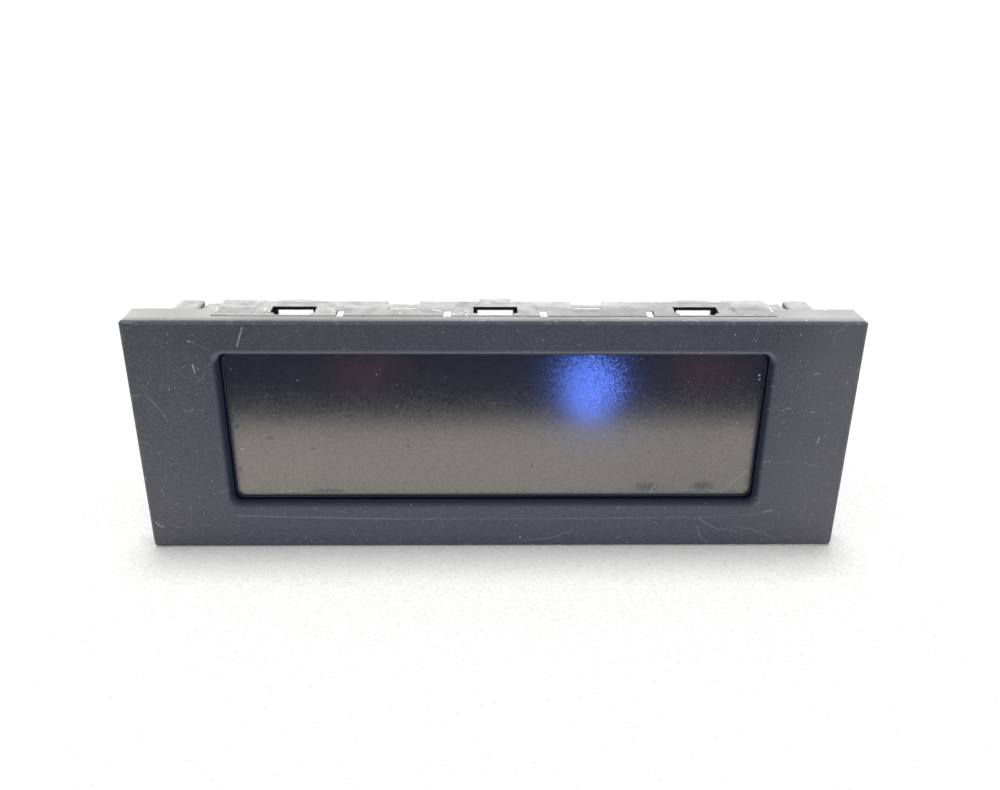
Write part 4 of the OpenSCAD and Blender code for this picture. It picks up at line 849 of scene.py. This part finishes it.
class StudioSettings(bpy.types.PropertyGroup):
    """The table, the light and what the lens mirrors."""

    table: FloatVectorProperty(name="Table", description="Colour of the table", subtype="COLOR",
        size=3, min=0.0, max=1.0, default=(0.86, 0.855, 0.84))
    table_lift: FloatProperty(name="Table lift", description="White added where the table is seen",
        min=0.0, max=1.0, default=0.09)
    ambient: FloatProperty(name="Ambient", description="Strength of the light from all round",
        min=0.0, max=2.0, default=0.62)
    overhead: FloatProperty(name="Overhead", description="Strength of the broad light from above",
        min=0.0, max=10.0, default=2.0)
    window: FloatProperty(name="Window", description="Radiance of the window behind the unit",
        min=0.0, max=20.0, default=7.2)
    glow: FloatProperty(name="Blue lamp", description="Radiance of the blue lamp that the lens mirrors",
        min=0.0, max=200.0, default=6.2)
    lamp_size: FloatProperty(name="Blue lamp's width", description="Width of the blue lamp", unit="LENGTH",
        subtype="DISTANCE", min=0.001, max=0.05, default=0.0188)


def colours():
    return bpy.context.scene.unit_colours


# Operators


class DressBezel(bpy.types.Operator):
    """Gives the front bezel its worn satin"""

    bl_idname = "display_unit.dress_bezel"
    bl_label = "Dress the bezel"

    def execute(self, context):
        wear("front_bezel", finish=bezel_finish(colours(), context.scene.unit_wear))
        return {"FINISHED"}


class DressScreen(bpy.types.Operator):
    """Gives the lens its smoked, matted surface and the gasket its foam"""

    bl_idname = "display_unit.dress_screen"
    bl_label = "Dress the screen"

    def execute(self, context):
        wear("screen_lens", finish=lens_finish(colours(), context.scene.unit_screen))
        wear("lens_gasket", finish=gasket_finish(colours()))
        return {"FINISHED"}


class DressHousing(bpy.types.Operator):
    """Gives the housing and the rear cover their grained black skins"""

    bl_idname = "display_unit.dress_housing"
    bl_label = "Dress the housing"

    def execute(self, context):
        tints = colours()
        amount = context.scene.unit_wear.dust
        # The housing's strongly pale edges and the strokes along its deck ends are painted highlights, in
        # the dust colour
        wear("mid_housing", finish=moulding_finish(
            "housing skin", tints.housing, tints.dust, texture=0.4, roughness=0.46, dust=1.6 * amount,
            edge=0.2, edge_wear_and_highlight=0.6, gloss=1.62, marked_and_highlit=True))
        wear("rear_cover", finish=moulding_finish(
            "cover skin", tints.cover, tints.dust, texture=0.62, roughness=0.56, dust=0.4 * amount))
        return {"FINISHED"}


class DressConnector(bpy.types.Operator):
    """Gives the connector its smooth moulding and its plated contacts"""

    bl_idname = "display_unit.dress_connector"
    bl_label = "Dress the connector"

    def execute(self, context):
        wear("connector_shell", finish=moulding_finish(
            "connector moulding", (0.017, 0.017, 0.018), colours().dust,
            texture=0.22, roughness=0.38, dust=0.3, edge=0.1))
        wear("connector_pins", finish=metal_finish(
            "plated brass", (0.78, 0.68, 0.42), 0.24, (1.0, 0.1, 1.0), (0.5, 0.38, 0.2), 0.05))
        return {"FINISHED"}


class DressScrews(bpy.types.Operator):
    """Gives the screws their plating"""

    bl_idname = "display_unit.dress_screws"
    bl_label = "Dress the screws"

    def execute(self, context):
        wear("bezel_screws", "cover_screws", "board_screws", finish=metal_finish(
            "black zinc", (0.17, 0.17, 0.175), 0.36, (1.0, 1.0, 1.0), (0.08, 0.075, 0.07)))
        return {"FINISHED"}


class DressModule(bpy.types.Operator):
    """Gives the screen module's layers their films, glass, metal and white mouldings"""

    bl_idname = "display_unit.dress_module"
    bl_label = "Dress the screen module"

    def execute(self, context):
        wear("clamp_frame", finish=metal_finish(
            "tin plate", (0.62, 0.63, 0.64), 0.3, (0.08, 1.0, 1.0), (0.42, 0.4, 0.36)))
        wear("front_polariser", "rear_polariser", finish=film_finish(
            "polariser film", (0.03, 0.032, 0.034), (0.045, 0.046, 0.05), 0.16, 9.0))
        wear("display_front_glass", "display_rear_glass", finish=film_finish(
            "display glass", (0.34, 0.4, 0.4), (0.4, 0.45, 0.45), 0.1, 12.0))
        wear("diffuser_sheet", "reflector_sheet", finish=film_finish(
            "white film", (0.82, 0.83, 0.83), (0.88, 0.88, 0.87), 0.6, 6.0))
        wear("light_guide", finish=guide_finish())
        wear("backlight_leds", finish=film_finish(
            "lamp resin", (0.8, 0.74, 0.34), (0.86, 0.82, 0.5), 0.2, 0.9))
        wear("module_carrier", finish=film_finish(
            "white moulding", (0.76, 0.76, 0.72), (0.83, 0.83, 0.8), 0.42, 4.0))
        wear("flex_cable", finish=film_finish(
            "flexible film", (0.46, 0.21, 0.04), (0.58, 0.29, 0.07), 0.25, 2.0))
        wear("flex_socket", finish=film_finish(
            "socket moulding", (0.7, 0.66, 0.54), (0.78, 0.74, 0.62), 0.4, 2.5))
        return {"FINISHED"}


class DressBoard(bpy.types.Operator):
    """Gives the boards their resist and the parts on them their packages"""

    bl_idname = "display_unit.dress_board"
    bl_label = "Dress the boards"

    def execute(self, context):
        wear("main_board", "backlight_board", finish=board_finish(colours().board))
        chips = film_finish("chip resin", (0.014, 0.014, 0.016), (0.024, 0.024, 0.026), 0.48, 0.8)
        wear("microcontroller", "display_driver", "memory_chip", "bus_transceiver", "voltage_regulator",
            finish=chips)
        wear("power_inductor", finish=film_finish(
            "ferrite", (0.05, 0.05, 0.054), (0.08, 0.078, 0.075), 0.7, 0.6))
        wear("electrolytic_capacitors", "quartz_crystal", finish=metal_finish(
            "drawn can", (0.76, 0.77, 0.78), 0.28, (1.0, 0.1, 1.0), (0.55, 0.54, 0.52)))
        wear("chip_parts", finish=film_finish(
            "fired ceramic", (0.3, 0.22, 0.14), (0.42, 0.33, 0.22), 0.45, 0.7))
        return {"FINISHED"}


class SetStudio(bpy.types.Operator):
    """Sets the table, the light, the camera and what the lens mirrors"""

    bl_idname = "display_unit.set_studio"
    bl_label = "Set the studio"

    def execute(self, context):
        studio = context.scene.unit_studio
        context.scene.view_settings.view_transform = "Standard"
        build_world(studio)
        build_camera()
        table = sheet_of("table", (TABLE_SIZE, TABLE_SIZE), (0.0, 0.0, 0.0), Matrix.Identity(4), 8)
        table.data.materials.append(table_finish(studio))
        # Light from just behind the zenith gives the short shadow in front
        broad_light("overhead_light", studio.overhead, angle=19.0, behind=7.5)
        # The tops mirror a bright window far behind
        lamp("window_lamp", "RECTANGLE", WINDOW_LAMP_SIZE, studio.window, WINDOW_LAMP_COLOUR,
             WINDOW_LAMP_PLACE, WINDOW_LAMP_AIM, mirrored_only=True)
        # The upper part of the lens mirrors a dark cloth that only gloss sees
        dark = Finish("dark cloth")
        dark.end(dark.node("ShaderNodeEmission", sockets={
            "Color": CARD_COLOUR, "Strength": CARD_STRENGTH}))
        upright = Matrix.Rotation(math.radians(90.0), 4, "X")
        card = sheet_of("dark_cloth", CARD_SIZE, CARD_PLACE, upright)
        card.data.materials.append(dark.material)
        for ray in ("camera", "diffuse", "shadow", "transmission", "volume_scatter"):
            setattr(card, "visible_" + ray, False)
        # Small lamps close to the cloth, which the lens mirrors too
        lamp("blue_lamp", "ELLIPSE", (studio.lamp_size, 1.25 * studio.lamp_size), studio.glow,
             BLUE_LAMP_COLOUR, BLUE_LAMP_PLACE, BLUE_LAMP_AIM, mirrored_only=True)
        for side, x in RED_LAMPS.items():
            lamp("red_lamp_" + side, "ELLIPSE", RED_LAMP_SIZE, RED_LAMP_RADIANCE, RED_LAMP_COLOUR,
                 (x, *RED_LAMP_PLACE), (RED_LAMP_TOE_IN * x, *RED_LAMP_AIM), mirrored_only=True)
        return {"FINISHED"}


class UnitPanel(bpy.types.Panel):
    """The unit's finishes and its studio"""

    bl_idname = "VIEW3D_PT_display_unit"
    bl_label = "Display Unit"
    bl_space_type = "VIEW_3D"
    bl_region_type = "UI"
    bl_category = "Display Unit"

    def draw(self, context):
        for group in (context.scene.unit_colours, context.scene.unit_wear,
                      context.scene.unit_screen, context.scene.unit_studio):
            box = self.layout.box()
            for name in group.bl_rna.properties.keys():
                if name not in {"rna_type", "name"}:
                    box.prop(group, name)
        for operator in OPERATORS:
            self.layout.operator(operator.bl_idname)


GROUPS = {
    "unit_colours": FinishColours,
    "unit_wear": WearAmounts,
    "unit_screen": ScreenSettings,
    "unit_studio": StudioSettings,
}
OPERATORS = (
    DressBezel, DressScreen, DressHousing, DressConnector, DressScrews, DressModule, DressBoard, SetStudio)


def register():
    for name, group in GROUPS.items():
        bpy.utils.register_class(group)
        setattr(bpy.types.Scene, name, PointerProperty(type=group))
    for kind in (*OPERATORS, UnitPanel):
        bpy.utils.register_class(kind)


def unregister():
    for kind in reversed((*OPERATORS, UnitPanel)):
        bpy.utils.unregister_class(kind)
    for name, group in reversed(GROUPS.items()):
        delattr(bpy.types.Scene, name)
        bpy.utils.unregister_class(group)


def main():
    register()
    unit = bpy.ops.display_unit
    unit.dress_bezel()
    unit.dress_screen()
    unit.dress_housing()
    unit.dress_connector()
    unit.dress_screws()
    unit.dress_module()
    unit.dress_board()
    unit.set_studio()


if __name__ == "__main__":
    main()
